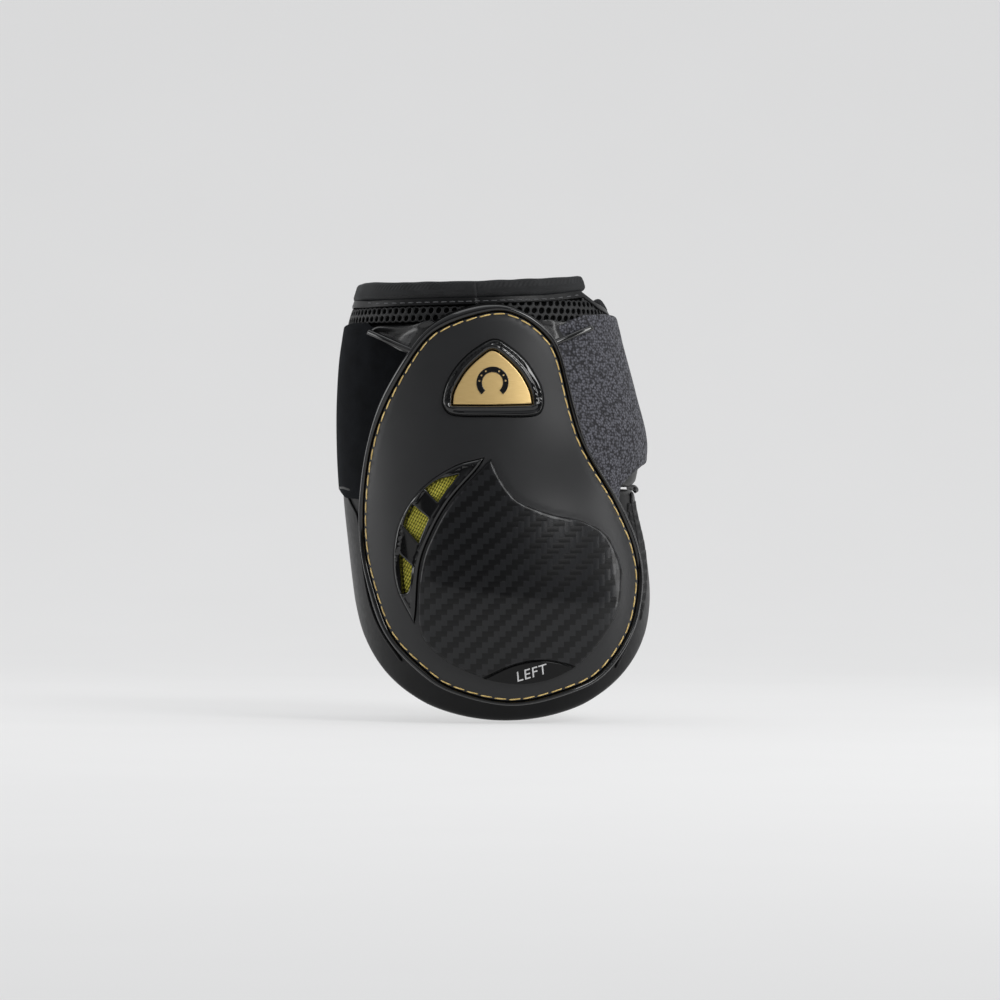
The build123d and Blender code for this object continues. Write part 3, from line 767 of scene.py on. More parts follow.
def backing_cloth():
    n = Nodes("backing_cloth", Specular_IOR_Level=0.1)
    where = n.cloth()
    knit = n.noise(where, 2.0, 3)
    return n.use(n.ramp(knit, [(0.2, 0.0006), (0.8, 0.002)]),
                 n.ramp(knit, [(0, 0.85), (1, 1.0)]), n.bump(knit, 0.3, 0.1))


def yellow_mesh():
    """Knitted mesh: slanting strands crossed by finer ones, with dark gaps between them."""
    n = Nodes("yellow_mesh", Sheen_Weight=0.1)
    split = n.add("SeparateXYZ")
    bent = n.cloth(1.0, math.radians(28))
    n.link(bent, split.inputs[0])
    across = n.maths("ABSOLUTE", n.maths("SINE", n.maths("MULTIPLY", split.outputs[0], 3.6)))
    along = n.maths("ABSOLUTE", n.maths("SINE", n.maths("MULTIPLY", split.outputs[1], 2.5)))
    grain = n.noise(bent, 1.6, 4, 0.7)
    both = n.maths("MULTIPLY", n.maths("MULTIPLY", across, n.maths("ADD", 0.35, along)), grain)
    colour = n.ramp(both, [(0.04, (0.035, 0.038, 0.002)), (0.22, (0.42, 0.40, 0.016)),
                           (0.48, (0.90, 0.82, 0.12))])
    return n.use(colour, n.ramp(both, [(0, 0.8), (1, 0.5)]), n.bump(both, 1.0, 0.5))


def print_ink():
    n = Nodes("letter_print")
    where = n.place()
    return n.use(n.ramp(n.noise(where, 3.0, 3), [(0.3, 0.50), (0.7, 0.72)]),
                 n.ramp(n.noise(where, 2.0), [(0, 0.4), (1, 0.55)]))


def hook_tape():
    n = Nodes("hook_tape")
    where = n.place()
    hooks = n.add("TexVoronoi", Scale=1.1, Randomness=0.1)
    n.link(where, hooks.inputs["Vector"])
    # Painted highlight and shade: each hook's raised middle is painted lighter and the ground between the
    # hooks darker.
    colour = n.ramp(hooks.outputs["Distance"], [(0.1, grey(0.03)), (0.5, grey(0.004))])
    return n.use(colour, n.ramp(hooks.outputs["Distance"], [(0, 0.35), (1, 0.8)]),
                 n.bump(n.maths("SUBTRACT", 1.0, hooks.outputs["Distance"]), 1.0, 0.6))


GLOSS = gloss_moulding("gloss_moulding")
GLOSS_LABEL = gloss_moulding("gloss_label", 0.0012, 0.12, 0.2)
GLOSS_WING = gloss_moulding("gloss_wing", 0.0026, 0.24, 0.45)
GLOSS_INNER = gloss_moulding("gloss_inner", 0.010, 0.22)
SATIN = satin_panel()
CARBON = carbon_twill()
GOLD_THREAD = gold_thread()
FINE_THREAD = fine_thread()
GOLD = brushed_gold()
VELVET = velvet()
STRAP = pebbled_strap()
NEOPRENE = neoprene()
COLLAR = collar_cloth()
LINING = lining_cloth()
SPACER = spacer_mesh()
BACKING = backing_cloth()
YELLOW = yellow_mesh()
INK = print_ink()
HOOK = hook_tape()


# ---------------------------------------------------------------- shell

# Heights over the wrap's face, in mm: where the face's pieces and the insert start, and their gaps.
FACE_LOW = 3.75
INSERT_LOW = 5.0
FIT_GAP = 0.15

stitch_loop = smooth_loop(STITCH_OUTLINE)
rim_loop = smooth_loop(RIM_OUTLINE)


def ray_out(points, directions, loop):
    """Distance from each point along its direction to a closed loop."""
    a = loop[None, :, :]
    ab = np.roll(loop, -1, axis=0)[None] - a
    p, d = points[:, None, :], directions[:, None, :]
    cross = d[..., 0] * ab[..., 1] - d[..., 1] * ab[..., 0]
    w = a - p
    with np.errstate(divide="ignore", invalid="ignore"):
        t = (w[..., 0] * ab[..., 1] - w[..., 1] * ab[..., 0]) / cross
        u = (w[..., 0] * d[..., 1] - w[..., 1] * d[..., 0]) / cross
    t = np.where((u >= 0) & (u <= 1) & (t > 0), t, np.inf)
    return t.min(1)


def make_rim():
    inner = moved_out(stitch_loop, 0.85)
    outward = outward_of(inner)
    width = np.clip(ray_out(inner, outward, rim_loop), 2.0, 6.5)
    for _ in range(30):
        width = 0.5 * width + 0.25 * (np.roll(width, 1) + np.roll(width, -1))
    profile = [(0.0, 0.3), (0.0, 4.6), (0.03, 5.2), (0.09, 5.7), (0.18, 6.0), (0.30, 6.05), (0.42, 5.9),
               (0.54, 5.45), (0.66, 4.75), (0.78, 3.8), (0.88, 2.75), (0.95, 1.7), (1.0, 0.8), (1.0, 0.15)]
    across = np.array([p[0] for p in profile])
    height = np.array([p[1] for p in profile])
    flat = inner[:, None, :] + outward[:, None, :] * (width[:, None] * across[None, :])[..., None]
    rows = chart(flat[..., 0], flat[..., 1], np.broadcast_to(height, flat.shape[:2]))
    strip("rim_moulding", rows, GLOSS, body="root", slot="shell_gloss", stands_for=("shell_rim",), uv=flat)


def bar(name, points, width, low, high, material, **finish):
    """Flat-topped rounded bar along (x, z) points, tapering at its first end."""
    path = smooth_path(points, 0.4)
    along = unit(np.gradient(path, axis=0))
    side = np.column_stack((along[:, 1], -along[:, 0]))
    profile = [(-0.5, 0.0), (-0.5, 0.6), (-0.46, 0.85), (-0.36, 0.96), (-0.2, 1.0), (0.0, 1.02), (0.2, 1.0),
               (0.36, 0.96), (0.46, 0.85), (0.5, 0.6), (0.5, 0.0)]
    run = np.linspace(0, 1, len(path))
    taper = np.clip(run / 0.10, 0.25, 1)**0.5
    across = np.array([q[0] for q in profile])
    lift = np.array([q[1] for q in profile])
    flat = path[:, None, :] + side[:, None, :] * (width * taper[:, None] * across[None, :])[..., None]
    height = low + (high - low) * lift[None, :] * taper[:, None]**2
    rows = chart(flat[..., 0], flat[..., 1], height)
    return strip(name, rows, material, closed=False, caps=True, uv=flat, **finish)


def make_wings():
    """Concave webs out of the rim, each with a flat-topped lip along its lower edge."""
    for side, outline, lip in (("left", LEFT_WING, LEFT_LIP), ("right", RIGHT_WING, RIGHT_LIP)):
        loop = np.array(outline, float)
        for _ in range(2):
            loop = resampled(loop, 0.5)
            for _ in range(4):
                loop = 0.5 * loop + 0.25 * (np.roll(loop, 1, axis=0) + np.roll(loop, -1, axis=0))

        def relief(flat, edge=loop):
            """The web sinks in its middle and rises to its edges, and most of all to the rim."""
            root = 2.4 * np.exp(-(distance_to(flat, rim_loop) / 3.4)**2)
            return root + 1.1 * np.exp(-(distance_to(flat, edge) / 1.5)**2)

        plate(side + "_wing_web", loop, 0.15, 1.3, GLOSS_WING, radius=0.6, spacing=0.45, relief=relief,
              body="root", slot="shell_gloss", stands_for=(side + "_wing",))
        bar(side + "_wing_lip", lip, 2.1, 0.15, 5.0, GLOSS, body="root", slot="shell_gloss")


def vent_loop(gap):
    return moved_out(joined(VENT_OUTER, VENT_INNER, spacing=0.6), gap)


def window_loop(gap=0.0):
    return moved_out(joined(WINDOW_OUTER, WINDOW_INNER, spacing=0.6), gap)


def cut_by(loop, edge, keep_side):
    """Part of a loop on one side of the line through a bar's edge."""
    a, b = np.array(edge, float)
    normal = np.array((-(b - a)[1], (b - a)[0]))
    side = (loop - a) @ normal * keep_side
    out = []
    for i in range(len(loop)):
        p, q = loop[i], loop[(i + 1) % len(loop)]
        s, t = side[i], side[(i + 1) % len(loop)]
        if s >= 0:
            out.append(p)
        if (s >= 0) != (t >= 0):
            out.append(p + (q - p) * s / (s - t))
    return np.array(out)


def resampled(loop, spacing):
    closed = np.vstack((loop, loop[:1]))
    step = np.linalg.norm(np.diff(closed, axis=0), axis=1)
    run = np.concatenate(([0], np.cumsum(step)))
    count = max(8, int(run[-1] / spacing))
    at = np.arange(count) / count * run[-1]
    return np.column_stack([np.interp(at, run, closed[:, k]) for k in (0, 1)])


def make_vent():
    outline = vent_loop(-FIT_GAP)
    window = window_loop()
    upper_top, upper_low = (UPPER_BAR[1], UPPER_BAR[2]), (UPPER_BAR[0], UPPER_BAR[3])
    lower_top, lower_low = (LOWER_BAR[1], LOWER_BAR[2]), (LOWER_BAR[0], LOWER_BAR[3])
    panes = [
        cut_by(window, upper_top, 1),
        cut_by(cut_by(window, upper_low, -1), lower_top, 1),
        cut_by(window, lower_low, -1),
    ]
    panes = [resampled(p, 0.5) for p in panes]
    plate("vent_frame_moulding", outline, FACE_LOW, 5.7, GLOSS, radius=0.55, spacing=0.9,
          holes=panes, body="root", slot="shell_gloss", stands_for=("vent_frame",),
          relief=lambda flat: 0.35 * np.exp(-((distance_to(flat, outline) - 0.9) / 0.35)**2))
    plate("vent_yellow_mesh", window_loop(1.0), 2.2, 2.75, YELLOW, radius=0.2, spacing=0.7, body="root",
          slot="vent_yellow", stands_for=("vent_mesh",),
          relief=lambda flat: 0.12 * np.sin(flat[:, 0] * 2.4) * np.sin(flat[:, 1] * 2.4))


def make_face():
    outline = moved_out(stitch_loop, 0.6)
    insert = joined(INSERT_RIGHT, LABEL_TOP, INSERT_LEFT)
    bezel = smooth_loop(BEZEL_OUTLINE, 0.6)
    vent = vent_loop(0.0)

    def relief(flat):
        """A shallow groove round the insert, and a channel under the gold seam."""
        near = np.minimum(distance_to(flat, insert), 8)
        groove = -0.25 * np.exp(-(near / 0.8)**2)
        edge = distance_to(flat, outline)
        channel = -0.25 * np.exp(-((edge - 0.7) / 0.45)**2)
        return groove + channel

    plate("face_cover", outline, FACE_LOW, 5.05, SATIN, radius=0.35, spacing=1.5, holes=[vent, bezel],
          relief=relief, body="root", slot="face_matte", stands_for=("face_panel",))
    stitches("gold_stitching", stitch_loop, 4.8, (4.3, 0.50, 0.46), 4.98, GOLD_THREAD, tilt=0.05,
             lift_ends=0.25, body="root", slot="thread_gold", stands_for=("face_stitching",))

    crown_centre = np.array((8.0, 5.0))

    def crown(flat):
        far = np.linalg.norm(flat - crown_centre, axis=1)
        return 0.55 * np.clip(1 - (far / 42)**2, 0, 1)

    plate("carbon_insert", moved_out(insert, -FIT_GAP), INSERT_LOW, 6.45, CARBON, radius=1.15, spacing=1.6,
          relief=crown, body="root", slot="carbon", stands_for=("strike_insert",))
    label = joined(LABEL_TOP, LABEL_BOTTOM)
    plate("side_label_plate", moved_out(label, -FIT_GAP), INSERT_LOW, 6.35, GLOSS_LABEL, radius=0.35,
          spacing=0.9, body="root", slot="emblem_black", stands_for=("side_label",))


def make_letters():
    """Side mark in Blender's own plain face, laid over the label."""
    text = bpy.data.curves.new("side_word", "FONT")
    text.body = "LEFT"
    text.size = 4.9
    text.shear = 0.22
    text.space_character = 1.08
    text.align_x = "CENTER"
    text.extrude = 0.12
    text.resolution_u = 6
    holder = bpy.data.objects.new("side_word", text)
    bpy.context.scene.collection.objects.link(holder)
    bpy.context.view_layer.update()
    mesh = bpy.data.meshes.new_from_object(holder.evaluated_get(bpy.context.evaluated_depsgraph_get()))
    bpy.data.objects.remove(holder)
    flat = np.array([v.co for v in mesh.vertices])
    faces = [list(p.vertices) for p in mesh.polygons]
    tilt = math.radians(17)
    flat[:, 1] -= 1.7
    flat[:, 0] *= 0.98
    x = LETTERS_CENTRE[0] + flat[:, 0] * math.cos(tilt) - flat[:, 1] * math.sin(tilt)
    z = LETTERS_CENTRE[1] + flat[:, 0] * math.sin(tilt) + flat[:, 1] * math.cos(tilt)
    points = chart(x, z, 6.45 + flat[:, 2])
    fix_normals(piece("side_word_letters", points, faces, INK, body="root", slot="letter_print",
                      stands_for=("side_label_letters",), smooth=False))


def make_badge():
    bezel = smooth_loop(BEZEL_OUTLINE, 0.5)
    gold = joined(PLATE_ARC, PLATE_FOOT, spacing=0.5)
    outer = moved_out(bezel, -FIT_GAP)

    def ridges(flat):
        """Two rounded ridges with a valley between them, falling to the plate."""
        out = distance_to(flat, outer)
        inn = distance_to(flat, gold)
        ridge = 1.0 * np.exp(-((out - 0.95) / 0.55)**2) + 1.15 * np.exp(-((inn - 1.35) / 0.75)**2)
        fall = -0.9 * np.exp(-(inn / 0.5)**2)
        return ridge + fall

    plate("badge_frame", outer, FACE_LOW, 5.75, GLOSS, radius=0.5, spacing=0.6, holes=[moved_out(gold, 0.1)],
          relief=ridges, body="root", slot="shell_gloss", stands_for=("badge_bezel",))
    plate("badge_gold", gold, 3.8, 5.5, GOLD, radius=0.35, spacing=1.0, body="root", slot="badge_gold",
          stands_for=("badge_plate",))
    centre, big, small = np.array((-1.1, 75.6)), 5.4, 3.5
    turns = np.radians(np.linspace(-90 + 42, 270 - 42, 60))
    arc_out = centre + np.column_stack((big * np.cos(turns), 1.08 * big * np.sin(turns)))
    arc_in = centre + np.column_stack((small * np.cos(turns[::-1]), 1.08 * small * np.sin(turns[::-1])))
    shoe = resampled(np.vstack((arc_out, arc_in)), 0.35)
    nails = []
    for side in (-1, 1):
        for a in (8, 34, 60):
            t = math.radians(90 + side * (a + 22))
            middle = centre + 4.45 * np.array((math.cos(t), 1.08 * math.sin(t)))
            ring = np.radians(np.arange(0, 360, 45))
            nails.append(middle + 0.33 * np.column_stack((np.cos(ring), np.sin(ring))))
    plate("badge_horseshoe", shoe, 5.35, 5.8, GLOSS, radius=0.18, spacing=0.5, holes=nails, body="root",
          slot="emblem_black", stands_for=("badge_emblem",))


make_rim()
make_wings()
make_vent()
make_face()
make_letters()
make_badge()
cover_node("shell_base", GLOSS_INNER)
cover_node("gel_pad", GLOSS_INNER)


# ---------------------------------------------------------------- soft wrap

DEG = math.pi / 180
PAD_INNER = -7.6
HALF_LOW = 38.2
HALF_TOP = 98.3
LEFT_HINGE = ((-0.058, -0.014, 0.07), (-0.058, 0.002, 0.07))
RIGHT_HINGE = ((0.052, -0.014, 0.07), (0.052, 0.002, 0.07))


def side_y(theta, z):
    _, cy, _, ry = ellipse_at(z)
    return cy - ry * np.cos(theta)


def cup_bottom(theta):
    """Height of the cup's lower edge at each angle, from its side view."""
    order = np.argsort(CUP_EDGE[:, 0])
    z = np.full(len(theta), 0.0)
    for _ in range(60):
        target = np.interp(side_y(theta, z), CUP_EDGE[order, 0], CUP_EDGE[order, 1])
        z = 0.7 * z + 0.3 * target
    return z


def soft(seed, size):
    """Slow unevenness of padded cloth."""
    local = np.random.default_rng(seed)
    waves = local.uniform(-1, 1, (5, 4))

    def relief(s, z, near):
        total = 0
        for a, b, phase, gain in waves:
            total = total + gain * np.sin(s * 0.09 * a + z * 0.11 * b + 6 * phase)
        return size * total / 2.5 * np.clip(near / 6, 0, 1)

    return relief


def line_inside(obj):
    """Lining material on the faces that look at the leg."""
    obj.data.materials.append(LINING)
    co = np.array([v.co for v in obj.data.vertices])
    for p in obj.data.polygons:
        centre = co[list(p.vertices)].mean(0)
        if p.normal.x * centre[0] + p.normal.y * centre[1] < -0.25 * math.hypot(centre[0], centre[1]):
            p.material_index = 1


def make_cup():
    """Cup round the fetlock: one padded form with a rolled lower edge and wings that end behind the leg."""
    reach = 107 * DEG
    theta = np.linspace(-reach, reach, 150)
    low = cup_bottom(theta)
    high = np.full(len(theta), 37.4)
    low = np.minimum(low, high - 4)
    cup = slab("fetlock_cup", theta, low, high, PAD_INNER, 0.0, NEOPRENE, rows=44, radius=2.6,
               relief=soft(3, 0.25), body="root", slot="neoprene",
               stands_for=("cup_pad", "cup_lining", "cup_binding"))
    line_inside(cup)


def make_wrap_half(side, name, panel, theta_end):
    """Padded half of the wrap above the cup, from the front to the gap behind the leg."""
    theta = np.linspace(0, side * theta_end, 90)
    z = np.full(len(theta), 70.0)
    y = side_y(theta, z)
    back = np.clip((y + 7) / 52, 0, 1)
    low = HALF_LOW + 8.0 * back
    top = HALF_TOP - 8.3 * back
    obj = slab(name, theta, low, top, PAD_INNER, 0.0, NEOPRENE, rows=34, radius=2.4,
               relief=soft(11 + side, 0.2), slot="neoprene",
               stands_for=(panel + "_pad", panel + "_lining", panel + "_binding"))
    line_inside(obj)
    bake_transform(obj)


# A regular hexagon's row pitch and side, as shares of its width.
HEX_ROW = 0.866
HEX_SIDE = 0.577


def hex_band(name, s_from, s_to, z_low, z_high, top, thick=0.9, cell=(2.7, 3.2), lean=0.22, **finish):
    """Spacer mesh: rows of six-sided holes in a sheet thick enough to show its walls.

    s_from and s_to are distances round the wrap, and z_low and z_high give its edges at each of them."""
    wide, tall = cell
    columns = max(2, int(abs(s_to - s_from) / wide))
    step = (s_to - s_from) / columns
    wide = abs(step)
    pitch = tall * HEX_ROW
    rows = int(max(z_high(s) - z_low(s) for s in np.linspace(s_from, s_to, 20)) / pitch) + 1
    key, flat, faces = {}, [], []

    def vertex(s, v):
        tag = (round(s, 2), round(v, 2))
        if tag not in key:
            key[tag] = len(flat)
            flat.append((s, z_low(s) + v))
        return key[tag]

    for r in range(rows):
        for c in range(columns - r % 2):
            s = s_from + (c + 0.5 + 0.5 * (r % 2)) * step
            v = (r + 0.55) * pitch
            if z_low(s) + v + tall * 0.55 > z_high(s):
                continue
            local = random.Random(r * 1000 + c)
            shrink = 0.70 + local.uniform(-0.05, 0.05)
            squash = 0.95 + local.uniform(-0.10, 0.10)
            angles = np.radians(np.arange(30, 390, 60))
            corner = [(math.cos(a) * wide * HEX_SIDE, math.sin(a) * tall * HEX_SIDE) for a in angles]
            outer = [vertex(s + x, v + y) for x, y in corner]
            inner = [vertex(s + x * shrink + lean * y, v + y * shrink * squash) for x, y in corner]
            for k in range(6):
                l = (k + 1) % 6
                faces.append((outer[k], outer[l], inner[l], inner[k]))
    flat = np.array(flat)
    _, _, rx, ry = ellipse_at(flat[:, 1])
    theta = flat[:, 0] / ((rx + ry) / 2)
    outside = wrap(theta, flat[:, 1], top)
    inside_face = wrap(theta, flat[:, 1], top - thick)
    obj = piece(name, np.concatenate((outside, inside_face)), closed_faces(faces, len(flat)), SPACER,
                uv=np.concatenate((flat, flat)), **finish)
    fix_normals(obj)
    rounder = obj.modifiers.new("smooth", "SUBSURF")
    rounder.levels = 1
    rounder.render_levels = 1
    bpy.context.view_layer.update()
    obj.data = bpy.data.meshes.new_from_object(obj.evaluated_get(bpy.context.evaluated_depsgraph_get()))
    obj.modifiers.clear()
    return obj


def roll(name, theta, z_mid, tall, high, nodes, outer_ends=(-1,)):
    """Padded roll along the collar: a rounded section swept round the leg, a little creased."""
    sides = 20
    low = -7.0
    ripple = 0.05
    s = arc_length(theta, z_mid)
    phi = 2 * math.pi * np.arange(sides) / sides
    deep = (high - low) / 2
    centre = (high + low) / 2
    cz = np.sign(np.sin(phi)) * np.abs(np.sin(phi))**0.5
    cd = np.sign(np.cos(phi)) * np.abs(np.cos(phi))**0.5
    local = np.random.default_rng(5)
    waves = local.uniform(0.3, 1.0, (6, 3))
    crease = sum(g * np.sin(s[:, None] * (0.25 + 0.5 * f) + 9 * p + 1.4 * phi[None, :])
                 for f, p, g in waves) / 3
    grow = 1 + ripple * crease
    z = z_mid[:, None] + (tall / 2)[:, None] * cz[None, :] * (1 + 0.5 * (grow - 1))
    d = centre + deep * cd[None, :] * grow
    rows = wrap(np.repeat(theta[:, None], sides, 1), z, d)
    for end in outer_ends:
        middle = rows[end].mean(0)
        rows[end] = middle + (rows[end] - middle) * 0.7
    uv = np.stack((np.repeat(s[:, None], sides, 1), z_mid[:, None] + phi[None, :] * tall.mean() / 3), -1)
    obj = strip(name, rows, COLLAR, closed=False, caps=True, uv=uv, slot="collar_lycra", stands_for=nodes)
    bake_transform(obj)


def line_of(points):
    """Height along the collar by signed distance round from the front."""
    xs = [p[0] for p in points]
    zs = [p[1] for p in points]
    return lambda s: np.interp(s, xs, zs)


def make_collar():
    theta_left = np.linspace(0, -165 * DEG, 130)
    theta_right = np.linspace(0, 66 * DEG, 60)
    theta_back = np.linspace(84 * DEG, 163 * DEG, 50)
    low = line_of([(-125, 98), (-75, 106.5), (-45, 107.3), (-30, 106.8), (0, 107.3), (25, 108.6), (45, 111)])
    top = line_of([(-125, 104.5), (-75, 113.5), (-45, 114.3), (-30, 113.7), (0, 113.9), (25, 115.2),
                   (45, 116.5)])
    for name, theta, pair, panel, nodes in (
        ("collar_roll_left", theta_left, LEFT_HINGE, "left_panel", ("left_collar",)),
        ("collar_roll_right", theta_right, RIGHT_HINGE, "right_panel", ("collar_front",)),
    ):
        s = arc_length(theta, np.full(len(theta), 110.0))
        a, b = low(s), top(s)
        roll(name, theta, (a + b) / 2, b - a, 1.3, nodes)
    s = arc_length(theta_back, np.full(len(theta_back), 102.0))
    mid = np.interp(s, [s[0], s[-1]], [106.0, 98.5])
    roll("collar_roll_back", theta_back, mid, np.full(len(s), 5.6), 1.0,
         ("right_collar",), outer_ends=(0, -1))


def chart_angle(x, z):
    cx, _, rx, _ = ellipse_at(z)
    return np.arcsin(np.clip((x - cx) / rx, -0.999, 0.999))


def under_rim(side, inset):
    """Angle for each height of a line just inside the rim's outer edge."""
    points = np.array([p for p in RIM_OUTLINE if (p[0] > 5) == (side > 0) and 0 < p[1] < 103])
    order = np.argsort(points[:, 1])
    points = points[order]
    return lambda z: chart_angle(np.interp(z, points[:, 1], points[:, 0]) - side * inset, z)


def angle_of_y(y, side):
    """Angle for each height of the line where the wrap crosses a given y."""

    def angle(z):
        _, cy, _, ry = ellipse_at(z)
        return side * np.arccos(np.clip((cy - y) / ry, -1, 1))

    return angle


def angle_of_back_x(x):
    """Angle for each height of the line where the back of the wrap crosses a given x."""

    def angle(z):
        cx, _, rx, _ = ellipse_at(z)
        return math.pi - np.arcsin((x - cx) / rx)

    return angle


def by_degree(points):
    at = np.radians([p[0] for p in points])
    value = [p[1] for p in points]
    order = np.argsort(at)
    return lambda theta: np.interp(theta, at[order], np.array(value)[order])


def make_mesh_bands():
    """Dark pad and spacer mesh between the wrap's upper edge and the collar."""
    low = line_of([(-125, 90.3), (-67, 98.6), (0, 98.6), (67, 98.6), (125, 90.3)])
    left_high = line_of([(-125, 98.0), (-67, 107.4), (-45, 106.6), (0, 107.2)])
    right_high = line_of([(0, 107.2), (25, 108.4), (44, 110.4), (52, 106.0), (64, 103.8), (125, 95.2)])
    for side, high, panel, pair, nodes in (
        (-1, left_high, "left_panel", LEFT_HINGE, ("left_mesh_band", "mesh_band_front")),
        (1, right_high, "right_panel", RIGHT_HINGE, ("right_mesh_band",)),
    ):
        name = "left" if side < 0 else "right"
        theta = np.linspace(0, side * 162 * DEG, 110)
        s = arc_length(theta, np.full(len(theta), 103.0))
        pad = slab("mesh_pad_" + name, theta, low(s) + 0.1, high(s) - 0.1, -6.5, -0.7, BACKING, rows=6,
                   radius=0.8, slot="neoprene", stands_for=nodes)
        line_inside(pad)
        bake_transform(pad)
        make_collar_tape(side, high)
        net = hex_band("spacer_mesh_" + name, 0.0, side * 123.0, low, high, 0.25, slot="spacer_mesh")
        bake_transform(net)


def make_collar_tape(side, high):
    """Smooth tape that binds the mesh under the collar."""
    theta = np.linspace(0, side * 162 * DEG, 110)
    s = arc_length(theta, np.full(len(theta), 105.0))
    name = "left" if side < 0 else "right"
    tape = slab("collar_tape_" + name, theta, high(s) - 2.2, high(s) + 0.3, -0.2, 0.72, NEOPRENE, rows=5,
                radius=0.35, ends=(False, True), slot="binding")
    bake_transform(tape)


def make_velvet():
    """Loop panel of the closure: from under the rim round the left side."""
    theta = np.linspace(-30 * DEG, -160 * DEG, 110)
    low = by_degree([(-30, 33.6), (-55, 34.4), (-60, 35.6), (-74, 38.6), (-100, 41.0), (-160, 47.0)])
    high = by_degree([(-30, 87.0), (-36, 88.6), (-63, 98.6), (-74, 98.9), (-98, 97.4), (-160, 88.6)])
    reach = angle_of_back_x(-14.5)
    obj = slab("loop_panel", theta, low(theta), high(theta), 0.25, 1.5, VELVET, rows=50, radius=0.55,
               start=under_rim(-1, 1.2), stop=lambda z: reach(z) - 2 * math.pi,
               relief=soft(23, 0.18), slot="velvet", stands_for=("loop_patch_front", "loop_patch_side"))
    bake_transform(obj)


# Heights of the strap's edges by degrees round from the front, and where its side and tab start.
STRAP_LOW = [
    (30, 20), (47, 33), (53, 38.3), (65, 43.4), (76.5, 46.4), (90, 47.8), (120, 50.4), (150, 51), (200, 51),
]
STRAP_HIGH = [
    (20, 85), (28.3, 89.8), (40, 95.6), (58.4, 100.9), (72, 101.6), (90, 101), (130, 98.4), (150, 97),
    (200, 97),
]
SIDE_START = 83.3 * DEG
TAB_START = 166.5 * DEG
TAB_END = 256 * DEG
TAB_CORNER = 9
MEAN_RADIUS = 49


def eased(value):
    """Smooth step from 0 to 1."""
    t = np.clip(value, 0, 1)
    return t * t * (3 - 2 * t)


def strap_relief(s, z, near):
    """Bound edges stand a little proud of the elastic. Only the distance to them counts."""
    return 0.16 * np.exp(-((near - 1.3) / 0.9)**2)


def make_strap():
    low, high = by_degree(STRAP_LOW), by_degree(STRAP_HIGH)
    seam = angle_of_y(-4.5, 1)
    turn = angle_of_back_x(9.0)
    theta = np.linspace(40 * DEG, SIDE_START, 46)
    front = slab("strap_front", theta, low(theta), high(theta), 0.4, 2.45, STRAP, rows=40, radius=0.7,
                 relief=strap_relief, ends=(True, False), start=under_rim(1, 1.2), stop=seam, slot="strap",
                 stands_for=("strap_anchor",))
    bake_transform(front)
    theta = np.linspace(SIDE_START, TAB_START, 90)
    rise = 1.1 * eased((theta / DEG - 150) / 17)
    side = slab("strap_side", theta, low(theta), high(theta), 0.4 + rise, 2.45 + rise * 0.95, STRAP, rows=40,
                radius=0.7, relief=strap_relief, ends=(False, False), start=seam, stop=turn, slot="strap",
                stands_for=("strap_band",))
    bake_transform(side)
    theta = np.linspace(TAB_START, TAB_END, 100)
    rise = eased((theta - TAB_START) / (18 * DEG))
    reach = angle_of_y(13.0, -1)
    round_off = round_edge((TAB_END - theta) * MEAN_RADIUS, TAB_CORNER)
    tab = slab("strap_tab_end", theta, low(theta) + 0.4 * round_off, high(theta) - 0.4 * round_off,
               1.5 + 0.95 * rise, 3.49 + 0.51 * rise, STRAP, rows=40, radius=0.7, relief=strap_relief,
               ends=(False, True), start=turn, stop=lambda z: 2 * math.pi + reach(z), slot="strap",
               stands_for=("strap_tab",))
    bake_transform(tab)


def tube(name, points, radius, depth, material, sides=10, **finish):
    """Round piping along (x, z) points on the front of the wrap."""
    path = smooth_path(points, 0.7)
    centre = chart(path[:, 0], path[:, 1], depth)
    normal = chart_normal(path[:, 0], path[:, 1])
    along = unit(np.gradient(centre, axis=0))
    side = np.cross(normal, along)
    taper = np.ones(len(path))
    taper[[0, -1]] = 0.35
    phi = 2 * math.pi * np.arange(sides) / sides
    rows = centre[:, None, :] + radius * taper[:, None, None] * (
        side[:, None, :] * np.cos(phi)[None, :, None] + normal[:, None, :] * np.sin(phi)[None, :, None])
    uv = np.repeat(path[:, None, :], sides, 1)
    return strip(name, rows, material, closed=False, caps=True, uv=uv, **finish)


def make_cup_beads():
    """Rolled upper edge of the cup on each side, which stands out beyond the panel above it."""
    for name, first, last in (("cup_bead_left", -60, -106), ("cup_bead_right", 84, 106)):
        theta = np.radians(np.linspace(first, last, 50))
        sides = 12
        phi = 2 * math.pi * np.arange(sides) / sides
        run = np.abs(theta - theta[0])
        grow = 1.15 * np.clip(run / 0.12, 0.45, 1)
        middle = 36.6 + 1.6 * np.clip(run / 0.25, 0, 1)
        z = middle[:, None] + grow[:, None] * np.sin(phi)[None, :]
        d = 0.45 + grow[:, None] * np.cos(phi)[None, :]
        rows = wrap(np.repeat(theta[:, None], sides, 1), z, d)
        uv = np.stack((arc_length(theta, 37.0)[:, None] + 0 * z, z), -1)
        strip(name, rows, NEOPRENE, closed=False, caps=True, uv=uv, body="root", slot="neoprene")


